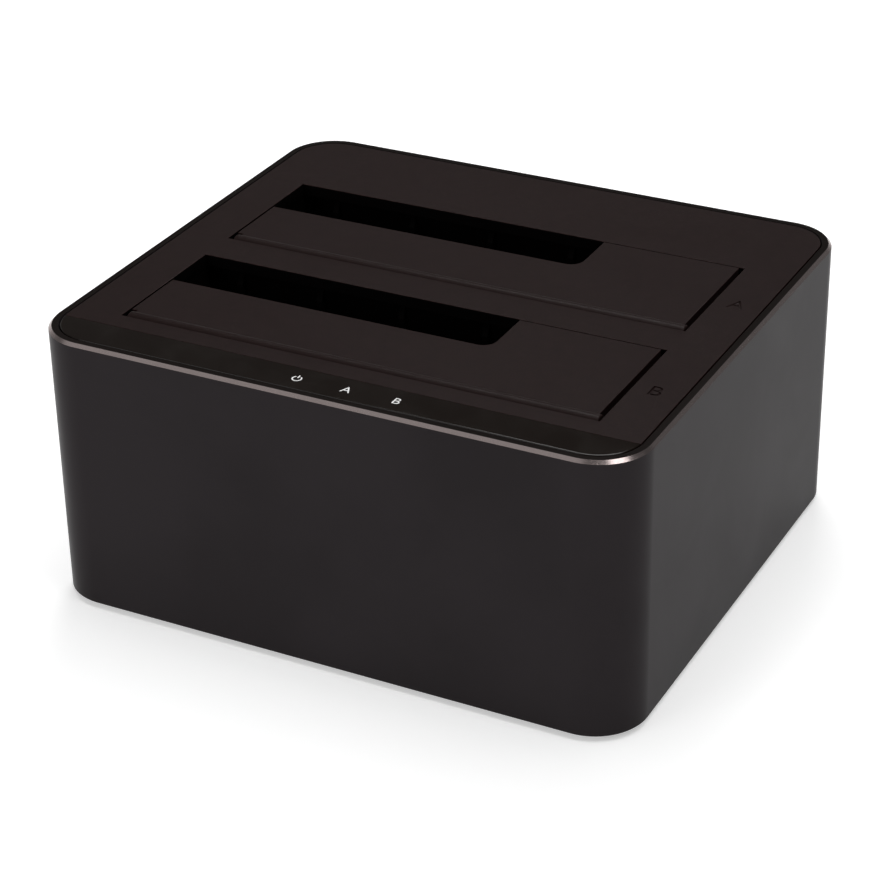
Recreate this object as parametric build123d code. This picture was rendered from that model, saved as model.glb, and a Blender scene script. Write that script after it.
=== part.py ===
from build123d import *
import math
import os

# A docking station with two drive bays, in millimetres.
# Origin: centre of the object's underside. +X is to the right of a viewer at the front,
# +Y goes to the rear and +Z goes up.

# Drives that stand in the bays
large_drive_width = 101.6
large_drive_thickness = 26.1
small_drive_width = 69.85
small_drive_thickness = 12.5
drive_tongue_offset = 3.5
drive_plug_inset = 4.8

# Room round the drives
bay_end_clearance = 1.55
drive_rear_clearance = 0.3
drive_front_clearance = 2.55
small_end_clearance = 3.35
small_face_clearance = 1.1
small_opening_radius = 3.0

# Flaps and their hinge barrels
flap_thickness = 1.8
flap_left_gap = 0.45
flap_right_gap = 1.2
flap_rear_gap = 0.3
flap_lip_thickness = 0.7
flap_lip_reach = 0.9
flap_lip_inset = 2.0
flap_stop_gap = 0.3
flap_rib_height = 0.8
flap_rib_width = 1.2
flap_rib_inset = 9.0
flap_rib_count = 6
barrel_radius = 1.8
barrel_standout = 0.35
barrel_gap = 0.25
barrel_notch = 1.35

# Hinge pins and torsion springs
pin_radius = 0.5
pin_length = 16.0
pin_bearing_length = 4.0
pin_end_gap = 0.2
pin_running_gap = 0.04
pin_press_gap = 0.01
barrel_end_web = 1.5
spring_wire_radius = 0.175
spring_pin_gap = 0.1
spring_pitch = 0.8
spring_turns = 3.25
spring_steps_per_turn = 12
spring_wire_sides = 6
spring_side_gap = 0.2
spring_fixed_leg = 7.0
spring_moving_leg = 5.5
spring_seat_top = 2.8
spring_seat_height = 5.0
spring_seat_gap = 0.05

# Top panel
panel_thickness = 2.5
panel_gap = 0.3
end_land = 10.3
rear_land = 24.45
front_land = 4.35
bay_pitch = 41.3
panel_rib_width = 1.2
panel_rib_height = 4.0
panel_rib_end_inset = 13.0
panel_rib_front_gap = 1.4
panel_rib_rear_inset = 9.0
post_radius = 3.2
post_inset = 5.6
post_end_gap = 0.2
well_boss_radius = 2.2
well_boss_height = 3.0

# Glossy strip at the front, and the marks that light shows through
strip_depth = 7.9
strip_thickness = 1.0
strip_gap = 0.15
mark_pitch = 10.8
mark_offset = 4.15
mark_inset = 3.75
mark_count = 3

# Aluminium sleeve
sleeve_height = 60.0
rim_wall = 2.05
ledge_width = 0.9
corner_radius = 11.3
rim_chamfer = 0.65
base_edge_break = 0.3

# Drive wells
well_wall = 1.6
well_floor = 1.5
well_end_setback = 0.3
well_lip_gap = 0.4
well_corner_radius = 2.0
guide_gap = 0.4
guide_rib_width = 1.2
guide_rib_slope = 2.5
guide_rib_inset = 8.0
small_guide_count = 4
tab_guide_count = 3
front_guide_count = 6
end_guide_count = 3
well_ear_radius = 3.0
well_ear_thickness = 2.0
well_ear_reach = 3.2
keeper_half_width = 2.6
keeper_thickness = 3.0
keeper_end_land = 1.4
peg_width = 3.6
peg_end_inset = 3.8
peg_side_inset = 6.0
peg_gap = 0.3
moving_gap = 0.5

# Base cover and feet
foot_standout = 1.2
foot_radius = 6.5
foot_pocket_depth = 0.6
foot_pocket_gap = 0.15
foot_inset_x = 17.0
foot_inset_y = 15.0
base_recess = 0.4
base_thickness = 2.0
base_gap = 0.25
base_boss_radius = 4.0
base_boss_height = 1.5
vent_width = 2.0
vent_length = 18.0
vent_pitch = 5.0
vent_count = 7
vent_row_offset = 15.0
vent_row_count = 2
plate_keeper_width = 1.2
plate_keeper_length = 18.0
plate_keeper_height = 3.0
plate_keeper_gap = 0.15

# Main board and what stands on it
board_standoff = 5.0
board_thickness = 1.6
board_edge_gap = 0.5
board_corner_radius = 1.5
board_post_gap = 0.6
board_boss_radius = 3.0
board_screw_inset = 5.0
board_screw_front = 25.0
board_screw_rear = 35.0
led_width = 2.0
led_depth = 1.3
led_height = 0.9
pipe_width = 2.6
pipe_gap = 0.2
pipe_web_height = 3.0
pipe_web_width = 1.2
chip_size = 10.0
chip_height = 1.0
chip_inset = 14.45
chip_rear_inset = 12.0
flash_width = 5.0
flash_depth = 4.0
flash_height = 1.5
flash_gap = 4.0
crystal_width = 11.0
crystal_depth = 4.6
crystal_height = 3.5
crystal_gap = 1.5
inductor_size = 6.0
inductor_height = 3.0
inductor_count = 2
capacitor_radius = 3.15
capacitor_height = 7.7
capacitor_foot_height = 1.0
capacitor_foot_reach = 0.1
capacitor_inset = 12.45
capacitor_count = 2
power_part_pitch = 8.0
power_part_gap = 0.8
part_edge_break = 0.4

# Drive sockets
socket_length = 42.6
socket_width = 6.2
socket_height = 10.5
socket_showing = 6.2
socket_shoulder = 0.5
socket_floor_gap = 0.5
socket_edge_break = 0.3
slot_width = 1.5
slot_depth = 6.0
signal_slot_length = 10.4
power_slot_length = 20.8
slot_spacing = 3.4
slot_key_width = 1.3
slot_key_reach = 1.1
contact_pitch = 1.27
contact_width = 0.5
contact_thickness = 0.2
contact_inset = 0.6
signal_contact_count = 7
power_contact_count = 15

# Rear port plate, sockets and switch
window_left_margin = 5.4
window_right_margin = 8.5
window_height = 17.4
window_radius = 2.5
window_rise = 0.6
plate_thickness = 2.0
plate_overlap = 3.0
plate_gap = 0.15
port_gap = 0.2
usb_x = 1.0
usb_width = 12.0
usb_height = 12.3
usb_length = 17.0
usb_shell_wall = 0.4
usb_corner_radius = 0.6
usb_mouth_width = 8.6
usb_mouth_height = 5.9
usb_mouth_slope = 1.4
usb_upper_width = 5.8
usb_upper_height = 3.0
usb_mouth_depth = 9.0
usb_mouth_rise = 0.9
usb_tongue_width = 5.6
usb_tongue_height = 3.1
usb_tongue_rise = 1.4
usb_upper_tongue_height = 1.0
usb_upper_tongue_width = 4.6
usb_tongue_setback = 1.0
usb_contact_width = 0.8
usb_contact_thickness = 0.15
usb_contact_length = 6.0
usb_contact_pitch = 2.5
usb_upper_contact_width = 0.4
usb_upper_contact_pitch = 0.9
usb_upper_contact_count = 5
jack_spacing = 8.5
jack_width = 9.0
jack_height = 11.0
jack_length = 13.5
jack_bore_radius = 3.1
jack_bore_depth = 9.5
jack_ring_radius = 3.9
jack_ring_depth = 0.3
jack_pin_radius = 1.0
jack_pin_setback = 0.6
switch_spacing = 7.4
switch_bezel_width = 15.2
switch_bezel_height = 10.6
switch_bezel_thickness = 0.9
switch_bezel_radius = 1.0
switch_body_width = 13.2
switch_body_height = 8.8
switch_body_depth = 10.0
switch_cavity_gap = 0.3
switch_cavity_depth = 3.0
rocker_radius = 5.5
rocker_height = 6.6
rocker_valley = 1.2
rocker_keel = 1.2
rocker_tilt = 11.0
rocker_sink = 0.1
rocker_axle_radius = 0.9
rocker_axle_reach = 0.8
rocker_axle_gap = 0.05
terminal_width = 2.0
terminal_thickness = 0.8
terminal_pitch = 5.0
terminal_reach = 2.5

# Screws, and the flat sides that stand for their rounds
prism_sides = 12
base_screw_radius = 1.45
base_screw_length = 12.0
base_screw_head_radius = 2.7
base_screw_head_height = 1.4
base_screw_head_gap = 0.25
base_screw_hole_gap = 0.2
small_screw_radius = 0.95
small_screw_length = 5.5
small_screw_head_radius = 1.9
small_screw_head_height = 1.2
small_screw_hole_gap = 0.2
thread_gap = 0.02
pilot_end_gap = 0.6

# One overrun for every cut that goes past a face
overrun = 1.0

# Sizes that follow from those above
bay_length = large_drive_width + 2 * bay_end_clearance
hinge_offset = (
    drive_rear_clearance + large_drive_thickness + drive_front_clearance + barrel_radius
)
cavity_depth = hinge_offset + barrel_radius + barrel_gap
panel_width = bay_length + 2 * end_land
panel_depth = strip_depth + front_land + cavity_depth + bay_pitch + rear_land
panel_radius = corner_radius - rim_wall - panel_gap
inner_wall = rim_wall + ledge_width
sleeve_width = panel_width + 2 * (panel_gap + rim_wall)
sleeve_depth = panel_depth + 2 * (panel_gap + rim_wall)
inner_width = sleeve_width - 2 * inner_wall
inner_depth = sleeve_depth - 2 * inner_wall

sleeve_bottom = foot_standout
panel_top = sleeve_bottom + sleeve_height
panel_bottom = panel_top - panel_thickness
base_bottom = sleeve_bottom + base_recess
base_top = base_bottom + base_thickness
board_bottom = base_top + board_standoff
board_top = board_bottom + board_thickness
socket_top = board_top + socket_height
floor_top = socket_top - socket_showing
floor_bottom = floor_top - well_floor

panel_front = -panel_depth / 2
strip_rear = panel_front + strip_depth
bay_b_rear = strip_rear + front_land + cavity_depth
bay_a_rear = bay_b_rear + bay_pitch
mark_y = panel_front + mark_inset

bay_left = -bay_length / 2
bay_right = bay_length / 2
opening_right = bay_left + small_drive_width + small_end_clearance
opening_depth = small_drive_thickness + small_face_clearance
hinge_z = panel_top + barrel_standout - barrel_radius
flap_left = bay_left + flap_left_gap
flap_right = bay_right - flap_right_gap
flap_bottom = panel_top - flap_thickness
lip_top = flap_bottom + flap_lip_thickness
barrel_left = flap_left + barrel_notch

coil_radius = pin_radius + spring_pin_gap + spring_wire_radius
coil_length = spring_pitch * spring_turns
pocket_length = coil_length + 2 * (spring_wire_radius + spring_side_gap)
pocket_radius = coil_radius + spring_wire_radius + spring_side_gap
pocket_right = flap_right - barrel_end_web
pocket_left = pocket_right - pocket_length
coil_left = pocket_left + spring_side_gap + spring_wire_radius

cavity_half = bay_length / 2 + well_end_setback
cavity_back = flap_lip_reach + well_lip_gap
lip_radius = hinge_offset + flap_lip_reach
swing_bottom = hinge_z - lip_radius - moving_gap
lip_drop = math.sqrt(lip_radius**2 - (hinge_offset - moving_gap) ** 2) + flap_thickness

post_x = inner_width / 2 - post_inset
post_y = inner_depth / 2 - post_inset
ear_x = cavity_half + well_wall + well_ear_reach
socket_x = -large_drive_width / 2 + drive_plug_inset + socket_length / 2
slots_length = signal_slot_length + slot_spacing + power_slot_length

plate_outer = sleeve_depth / 2 - inner_wall
plate_inner = plate_outer - plate_thickness
board_front = -inner_depth / 2 + board_edge_gap
board_rear = plate_inner - board_edge_gap
board_half = inner_width / 2 - board_edge_gap
board_screw_x = inner_width / 2 - board_screw_inset
window_z = board_top + usb_height / 2 + window_rise

chip_x = chip_inset - post_x
capacitor_x = post_x - capacitor_inset
inductor_x = capacitor_x - capacitor_count * power_part_pitch
power_part_y = plate_outer - jack_length - power_part_gap - inductor_size / 2
jack_x = usb_x + usb_width / 2 + jack_spacing + jack_width / 2
switch_x = usb_x - usb_width / 2 - switch_spacing - switch_bezel_width / 2
window_left = switch_x - switch_bezel_width / 2 - window_left_margin
window_right = jack_x + jack_width / 2 + window_right_margin
window_x = (window_left + window_right) / 2

switch_face = plate_outer + switch_bezel_thickness
rocker_y = switch_face - rocker_sink - rocker_valley
switch_cavity_radius = rocker_radius + switch_cavity_gap
switch_cavity_height = rocker_height + 2 * switch_cavity_gap
switch_back = plate_outer - switch_body_depth


def block(x0, x1, y0, y1, z0, z1):
    """A box between two opposite corners."""
    middle = Pos((x0 + x1) / 2, (y0 + y1) / 2, (z0 + z1) / 2)
    return middle * Box(x1 - x0, y1 - y0, z1 - z0)


def rounded_block(width, depth, radius, z0, z1):
    """A centred upright block with rounded corners."""
    return Pos(0, 0, z0) * extrude(RectangleRounded(width, depth, radius), z1 - z0)


def rod_x(radius, x0, x1, y, z):
    return Pos((x0 + x1) / 2, y, z) * Rot(0, 90, 0) * Cylinder(radius, x1 - x0)


def rod_y(radius, y0, y1, x, z):
    return Pos(x, (y0 + y1) / 2, z) * Rot(90, 0, 0) * Cylinder(radius, y1 - y0)


def rod_z(radius, z0, z1, x, y):
    return Pos(x, y, (z0 + z1) / 2) * Cylinder(radius, z1 - z0)


def slab_y(outline, x, z, y0, y1):
    """An outline in X and Z, at x and z, drawn out from y0 to y1."""
    return Pos(x, y1, z) * Rot(90, 0, 0) * extrude(outline, y1 - y0)


def outline_of(points):
    """A closed flat outline through points."""
    return make_face(Polyline(*points, close=True))


def spread(first, last, count):
    """count places from first to last, evenly spaced."""
    return [first + (last - first) * i / (count - 1) for i in range(count)]


def bay_axis(rear):
    """Where a bay's hinge line lies, from where the bay ends at the rear."""
    return rear - hinge_offset


def prism_z(radius, z0, z1, x, y):
    """An upright rod with flat sides, for what is small, hidden and repeated."""
    return Pos(x, y, z0) * extrude(RegularPolygon(radius, prism_sides), z1 - z0)


def four(x, y):
    return [(sx * x, sy * y) for sx in (-1, 1) for sy in (-1, 1)]


def ear_places(rear):
    """Places of the screws that hold one well to the panel."""
    return [(side * ear_x, rear - cavity_depth / 2) for side in (-1, 1)]


def mark_places():
    half_row = mark_pitch * (mark_count - 1) / 2
    return spread(mark_offset - half_row, mark_offset + half_row, mark_count)


def outer_sleeve():
    """An extruded tube with a rebate at each end, where the panel and the base sit on ledges."""
    body = rounded_block(sleeve_width, sleeve_depth, corner_radius, sleeve_bottom, panel_top)
    body = chamfer(body.faces().sort_by(Axis.Z)[-1].edges(), rim_chamfer)
    body = chamfer(body.faces().sort_by(Axis.Z)[0].edges(), base_edge_break)
    body -= rounded_block(
        inner_width,
        inner_depth,
        corner_radius - inner_wall,
        sleeve_bottom - overrun,
        panel_top + overrun,
    )
    rebate_width = sleeve_width - 2 * rim_wall
    rebate_depth = sleeve_depth - 2 * rim_wall
    rebate_radius = corner_radius - rim_wall
    for z0, z1 in ((panel_bottom, panel_top + overrun), (sleeve_bottom - overrun, base_top)):
        body -= rounded_block(rebate_width, rebate_depth, rebate_radius, z0, z1)
    window = RectangleRounded(window_right - window_left, window_height, window_radius)
    body -= slab_y(window, window_x, window_z, plate_outer - overrun, sleeve_depth / 2 + overrun)
    return body


def bay_opening(rear):
    """What a bay takes out of the panel: the opening, barrel groove, stop rebate and pin slots."""
    axis = bay_axis(rear)
    hole = block(bay_left, bay_right, axis, rear, panel_bottom - overrun, panel_top + overrun)
    hole += rod_x(barrel_radius + barrel_gap, bay_left, bay_right, axis, hinge_z)
    hole += block(
        opening_right + flap_lip_inset - moving_gap,
        bay_right,
        rear - overrun,
        rear + flap_lip_reach + well_lip_gap,
        panel_bottom - overrun,
        lip_top + flap_stop_gap,
    )
    slot_half = pin_radius + pin_running_gap
    slot_reach = pin_bearing_length + pin_end_gap
    for x0, x1 in ((bay_left - slot_reach, bay_left), (bay_right, bay_right + slot_reach)):
        hole += rod_x(slot_half, x0, x1, axis, hinge_z)
        hole += block(
            x0, x1, axis - slot_half, axis + slot_half, panel_bottom - overrun, hinge_z
        )
    return hole


def top_panel():
    """The moulded panel, with its ribs, screw bosses and the posts that reach the base."""
    body = rounded_block(panel_width, panel_depth, panel_radius, panel_bottom, panel_top)
    rib_x = panel_width / 2 - panel_rib_end_inset
    rib_bottom = panel_bottom - panel_rib_height
    front_rib = bay_b_rear - cavity_depth - well_wall - panel_rib_front_gap
    rear_rib = panel_depth / 2 - panel_rib_rear_inset
    for y in (front_rib, rear_rib):
        body += block(-rib_x, rib_x, y - panel_rib_width, y, rib_bottom, panel_bottom)
    post_bottom = base_top + base_boss_height + post_end_gap
    for x, y in four(post_x, post_y):
        body += prism_z(post_radius, post_bottom, panel_bottom, x, y)
    boss_bottom = panel_bottom - well_boss_height
    for rear in (bay_a_rear, bay_b_rear):
        for x, y in ear_places(rear):
            body += prism_z(well_boss_radius, boss_bottom, panel_bottom, x, y)
    body -= block(
        -panel_width,
        panel_width,
        -panel_depth,
        strip_rear + strip_gap,
        panel_top - strip_thickness,
        panel_top + overrun,
    )
    pilot_top = boss_bottom - well_ear_thickness + small_screw_length + pilot_end_gap
    for rear in (bay_a_rear, bay_b_rear):
        body -= bay_opening(rear)
        for x, y in ear_places(rear):
            body -= prism_z(
                small_screw_radius + thread_gap, boss_bottom - overrun, pilot_top, x, y
            )
    reach = pipe_width / 2 + pipe_gap
    for x in mark_places():
        body -= block(
            x - reach,
            x + reach,
            mark_y - reach,
            mark_y + reach,
            panel_bottom - overrun,
            panel_top + overrun,
        )
    for x, y in four(post_x, post_y):
        body -= prism_z(
            base_screw_radius + thread_gap,
            post_bottom - overrun,
            base_bottom + base_screw_length + pilot_end_gap,
            x,
            y,
        )
    return body


def indicator_strip():
    """The glossy strip: the panel's outline as far back as the strip's rear edge."""
    body = rounded_block(
        panel_width, panel_depth, panel_radius, panel_top - strip_thickness, panel_top
    )
    return body & block(
        -panel_width,
        panel_width,
        -panel_depth,
        strip_rear,
        panel_top - strip_thickness - overrun,
        panel_top + overrun,
    )


def flap_outline(rear):
    """The flap from above: an L round the small drive's opening, notched at the hinge's left end."""
    axis = bay_axis(rear)
    cut = rear - opening_depth
    edge = rear - flap_rear_gap
    points = [
        (barrel_left, axis),
        (flap_right, axis),
        (flap_right, edge),
        (opening_right, edge),
        (opening_right, cut),
        (flap_left, cut),
        (flap_left, axis + barrel_radius),
        (barrel_left, axis + barrel_radius),
    ]
    outline = outline_of(points)
    inner_corner = outline.vertices().sort_by_distance((opening_right, cut, 0))[0]
    return fillet(inner_corner, small_opening_radius)


def spring_pocket(axis):
    """The room that the coil and both its legs need in the barrel and the flap."""
    wire_gap = spring_wire_radius + spring_side_gap
    pocket = rod_x(pocket_radius, pocket_left, pocket_right, axis, hinge_z)
    below = hinge_z - barrel_radius - overrun
    front = axis - barrel_radius - overrun
    pocket += block(pocket_left, pocket_right, front, axis, below, hinge_z)
    pocket += block(
        pocket_left, pocket_right, front, axis + barrel_radius + overrun, below, flap_bottom
    )
    coil_right = coil_left + coil_length
    pocket += block(
        coil_right - wire_gap,
        coil_right + wire_gap,
        axis,
        axis + spring_moving_leg + spring_side_gap,
        flap_bottom - overrun,
        hinge_z + coil_radius + spring_wire_radius + spring_seat_gap,
    )
    return pocket


def flap(rear):
    """An L-shaped plate with its hinge barrel, stop lip, stiffening ribs and spring pocket."""
    axis = bay_axis(rear)
    cut = rear - opening_depth
    edge = rear - flap_rear_gap
    body = Pos(0, 0, flap_bottom) * extrude(flap_outline(rear), flap_thickness)
    body += rod_x(barrel_radius, barrel_left, flap_right, axis, hinge_z)
    rib_bottom = flap_bottom - flap_rib_height
    rib_half = flap_rib_width / 2
    first = barrel_left + flap_rib_inset
    last = pocket_left - flap_rib_inset
    for x in spread(first, last, flap_rib_count):
        end = cut if x < opening_right + flap_rib_width else edge
        body += block(
            x - rib_half,
            x + rib_half,
            axis + barrel_radius,
            end - flap_rib_width,
            rib_bottom,
            flap_bottom,
        )
    body += block(
        barrel_left,
        flap_right - flap_rib_width,
        cut - 2 * flap_rib_width,
        cut - flap_rib_width,
        rib_bottom,
        flap_bottom,
    )
    body += block(
        opening_right + flap_lip_inset,
        flap_right - flap_lip_inset,
        edge - flap_rib_width,
        rear + flap_lip_reach,
        flap_bottom,
        lip_top,
    )
    body -= spring_pocket(axis)
    bore = pin_radius + pin_press_gap
    left_end = bay_left - pin_bearing_length + pin_length + pin_end_gap
    right_end = bay_right + pin_bearing_length - pin_length - pin_end_gap
    body -= rod_x(bore, barrel_left - overrun, left_end, axis, hinge_z)
    body -= rod_x(bore, right_end, flap_right + overrun, axis, hinge_z)
    return body


def hinge_pins(rear):
    """Two steel pins, one in each end of the barrel, that turn in the panel."""
    axis = bay_axis(rear)
    left = bay_left - pin_bearing_length
    right = bay_right + pin_bearing_length
    return [
        rod_x(pin_radius, left, left + pin_length, axis, hinge_z),
        rod_x(pin_radius, right - pin_length, right, axis, hinge_z),
    ]


def flap_spring(rear):
    """A torsion spring: one leg stands against the well's wall, the other lifts the flap."""
    axis = bay_axis(rear)
    steps = round(spring_turns * spring_steps_per_turn)
    points = [(coil_left, axis - coil_radius, hinge_z - spring_fixed_leg)]
    for i in range(steps + 1):
        turn = 2 * math.pi * i / spring_steps_per_turn
        y = axis - coil_radius * math.cos(turn)
        z = hinge_z + coil_radius * math.sin(turn)
        points.append((coil_left + coil_length * i / steps, y, z))
    points.append((coil_left + coil_length, axis + spring_moving_leg, hinge_z + coil_radius))
    wire = Plane(origin=points[0], z_dir=(0, 0, 1)) * RegularPolygon(
        spring_wire_radius, spring_wire_sides
    )
    return sweep(wire, path=Polyline(*points), transition=Transition.RIGHT)


def guide_rib_y(x, y0, y1, top):
    """A rib on a well's front or rear wall, y0, as far as y1, with a sloping lead-in."""
    points = [
        (y0, floor_top - well_floor / 2),
        (y1, floor_top - well_floor / 2),
        (y1, top - guide_rib_slope),
        (y0, top),
    ]
    rib = extrude(Plane.YZ * outline_of(points), guide_rib_width)
    return Pos(x - guide_rib_width / 2, 0, 0) * rib


def guide_rib_x(y, x0, x1, top):
    """A rib on a well's end wall, x0, as far as x1, with a sloping lead-in."""
    points = [
        (x0, floor_top - well_floor / 2),
        (x1, floor_top - well_floor / 2),
        (x1, top - guide_rib_slope),
        (x0, top),
    ]
    rib = extrude(Plane.XZ * outline_of(points), guide_rib_width)
    return Pos(0, y + guide_rib_width / 2, 0) * rib


def well_guides(rear):
    """The ribs that guide both sizes of drive down on to the socket."""
    front = rear - cavity_depth
    back = rear + cavity_back
    ribs = []
    small_first = bay_left + guide_rib_inset
    small_last = opening_right - guide_rib_inset
    for x in spread(small_first, small_last, small_guide_count):
        ribs.append(guide_rib_y(x, back, rear, panel_bottom - moving_gap))
    tab_first = opening_right + guide_rib_inset
    tab_last = bay_right - guide_rib_inset
    for x in spread(tab_first, tab_last, tab_guide_count):
        ribs.append(guide_rib_y(x, back, rear, hinge_z - lip_drop))
    drive_front = rear - drive_rear_clearance - large_drive_thickness
    for x in spread(bay_left + guide_rib_inset, bay_right - guide_rib_inset, front_guide_count):
        ribs.append(guide_rib_y(x, front, drive_front - guide_gap, swing_bottom))
    end_face = large_drive_width / 2 + guide_gap
    for y in spread(front + guide_rib_inset, rear - guide_rib_inset, end_guide_count):
        for side in (-1, 1):
            ribs.append(guide_rib_x(y, side * cavity_half, side * end_face, swing_bottom))
    return ribs


def pin_keeper(axis, side):
    """A pad beside a well that closes the panel's pin slot from below."""
    near = side * cavity_half
    far = side * (bay_right + pin_bearing_length + pin_end_gap + keeper_end_land)
    x0, x1 = min(near, far), max(near, far)
    pad = block(
        x0,
        x1,
        axis - keeper_half_width,
        axis + keeper_half_width,
        panel_bottom - keeper_thickness,
        panel_bottom,
    )
    near = side * (bay_right + well_end_setback)
    far = side * (bay_right + pin_bearing_length)
    x0, x1 = min(near, far), max(near, far)
    saddle_top = hinge_z - pin_radius - pin_running_gap
    return pad + block(
        x0, x1, axis - pin_radius, axis + pin_radius, panel_bottom - overrun, saddle_top
    )


def well(rear):
    """One drive well: four walls and a floor, with ears, pin keepers, guides and pegs."""
    axis = bay_axis(rear)
    front = rear - cavity_depth
    back = rear + cavity_back
    outer = block(
        -cavity_half - well_wall,
        cavity_half + well_wall,
        front - well_wall,
        back + well_wall,
        floor_bottom,
        panel_bottom,
    )
    outer = fillet(outer.edges().filter_by(Axis.Z), well_corner_radius)
    body = outer - block(
        -cavity_half, cavity_half, front, back, floor_top, panel_bottom + overrun
    )
    ear_top = panel_bottom - well_boss_height
    for x, y in ear_places(rear):
        inner_x = math.copysign(cavity_half + well_wall / 2, x)
        x0, x1 = min(inner_x, x), max(inner_x, x)
        z0 = ear_top - well_ear_thickness
        body += block(x0, x1, y - well_ear_radius, y + well_ear_radius, z0, ear_top)
        body += prism_z(well_ear_radius, z0, ear_top, x, y)
        body -= prism_z(
            small_screw_radius + small_screw_hole_gap, z0 - overrun, ear_top + overrun, x, y
        )
    for side in (-1, 1):
        body += pin_keeper(axis, side)
    for rib in well_guides(rear):
        body += rib
    seat_face = axis - coil_radius - spring_wire_radius - spring_seat_gap
    body += block(
        pocket_left,
        pocket_right,
        front - well_wall / 2,
        seat_face,
        hinge_z - spring_seat_top - spring_seat_height,
        hinge_z - spring_seat_top,
    )
    half = peg_width / 2
    for x in (-cavity_half + peg_end_inset, cavity_half - peg_end_inset):
        for y in (front + peg_side_inset, back - peg_side_inset):
            body += block(x - half, x + half, y - half, y + half, board_top + peg_gap, floor_top)
    tongue = tongue_line(rear)
    reach_x = socket_length / 2 + socket_floor_gap
    reach_y = socket_width / 2 + socket_floor_gap
    body -= block(
        socket_x - reach_x,
        socket_x + reach_x,
        tongue - reach_y,
        tongue + reach_y,
        floor_bottom - overrun,
        floor_top + overrun,
    )
    return body


def tongue_line(rear):
    """Where a drive's connector tongue stands, from where the bay ends at the rear."""
    return rear - drive_rear_clearance - drive_tongue_offset


def slot_cut(x0, length, y, key_side):
    """One L-shaped slot of a drive socket, with its key at the end that key_side names."""
    bottom = socket_top - slot_depth
    cut = block(
        x0, x0 + length, y - slot_width / 2, y + slot_width / 2, bottom, socket_top + overrun
    )
    key_x = x0 if key_side < 0 else x0 + length - slot_key_width
    return cut + block(
        key_x,
        key_x + slot_key_width,
        y - slot_width / 2 - slot_key_reach,
        y,
        bottom,
        socket_top + overrun,
    )


def sata_socket(rear):
    """A drive socket: a foot on the board, and a keyed head that stands up through the floor."""
    y = tongue_line(rear)
    half_length = socket_length / 2
    half_width = socket_width / 2
    foot = block(
        socket_x - half_length,
        socket_x + half_length,
        y - half_width,
        y + half_width,
        board_top,
        floor_top,
    )
    head = block(
        socket_x - half_length + socket_shoulder,
        socket_x + half_length - socket_shoulder,
        y - half_width + socket_shoulder,
        y + half_width - socket_shoulder,
        floor_top,
        socket_top,
    )
    head = chamfer(head.faces().sort_by(Axis.Z)[-1].edges(), socket_edge_break)
    body = foot + head
    first = socket_x - slots_length / 2
    body -= slot_cut(first, signal_slot_length, y, 1)
    second = first + signal_slot_length + slot_spacing
    body -= slot_cut(second, power_slot_length, y, -1)
    return body


def contact_row(x0, length, y, count):
    """Contacts side by side along the far wall of one slot."""
    row = contact_pitch * (count - 1)
    first = x0 + (length - row) / 2
    wall = y + slot_width / 2
    return [
        block(
            x - contact_width / 2,
            x + contact_width / 2,
            wall - contact_thickness,
            wall,
            socket_top - slot_depth,
            socket_top - contact_inset,
        )
        for x in spread(first, first + row, count)
    ]


def sata_contacts(rear):
    y = tongue_line(rear)
    first = socket_x - slots_length / 2
    second = first + signal_slot_length + slot_spacing
    signal = contact_row(first, signal_slot_length, y, signal_contact_count)
    power = contact_row(second, power_slot_length, y, power_contact_count)
    return signal + power


def board_screw_places():
    return [(s * board_screw_x, y) for s in (-1, 1) for y in (-board_screw_front, board_screw_rear)]


def main_board():
    """The circuit board: cut away at its corners for the panel's posts."""
    depth = board_rear - board_front
    outline = RectangleRounded(2 * board_half, depth, board_corner_radius)
    middle = Pos(0, (board_front + board_rear) / 2, board_bottom)
    body = middle * extrude(outline, board_thickness)
    reach = post_radius + board_post_gap
    for x, y in four(post_x, post_y):
        x0, x1 = sorted((x - math.copysign(reach, x), math.copysign(sleeve_width, x)))
        y0, y1 = sorted((y - math.copysign(reach, y), math.copysign(sleeve_depth, y)))
        body -= block(x0, x1, y0, y1, board_bottom - overrun, board_top + overrun)
    for x, y in board_screw_places():
        radius = small_screw_radius + small_screw_hole_gap
        body -= prism_z(radius, board_bottom - overrun, board_top + overrun, x, y)
    return body


def indicator_leds():
    """Three lamps at the board's front edge."""
    return [
        block(
            x - led_width / 2,
            x + led_width / 2,
            mark_y - led_depth / 2,
            mark_y + led_depth / 2,
            board_top,
            board_top + led_height,
        )
        for x in mark_places()
    ]


def light_pipe():
    """Three clear columns from the lamps to the strip, joined by a web at each end."""
    bottom = board_top + led_height + pipe_gap
    top = panel_top - strip_thickness - pipe_gap
    places = mark_places()
    half = pipe_width / 2
    columns = [block(x - half, x + half, mark_y - half, mark_y + half, bottom, top) for x in places]
    body = columns[0] + columns[1:]
    half = pipe_web_width / 2
    for z in (bottom + pipe_web_height, panel_bottom - pipe_gap - pipe_web_height):
        body += block(
            places[0], places[-1], mark_y - half, mark_y + half, z, z + pipe_web_height
        )
    return body


def chip(x, y, width, depth, height):
    """A moulded component on the board, with its upper edges broken."""
    body = block(
        x - width / 2, x + width / 2, y - depth / 2, y + depth / 2, board_top, board_top + height
    )
    return chamfer(body.faces().sort_by(Axis.Z)[-1].edges(), part_edge_break)


def controller_chip():
    return chip(chip_x, board_rear - chip_rear_inset, chip_size, chip_size, chip_height)


def flash_chip():
    x = chip_x + chip_size / 2 + flash_gap + flash_width / 2
    return chip(x, board_rear - chip_rear_inset, flash_width, flash_depth, flash_height)


def crystal():
    y = board_rear - chip_rear_inset + chip_size / 2 + crystal_gap + crystal_depth / 2
    return chip(chip_x, y, crystal_width, crystal_depth, crystal_height)


def inductors():
    return [
        chip(
            inductor_x - i * power_part_pitch,
            power_part_y,
            inductor_size,
            inductor_size,
            inductor_height,
        )
        for i in range(inductor_count)
    ]


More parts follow.
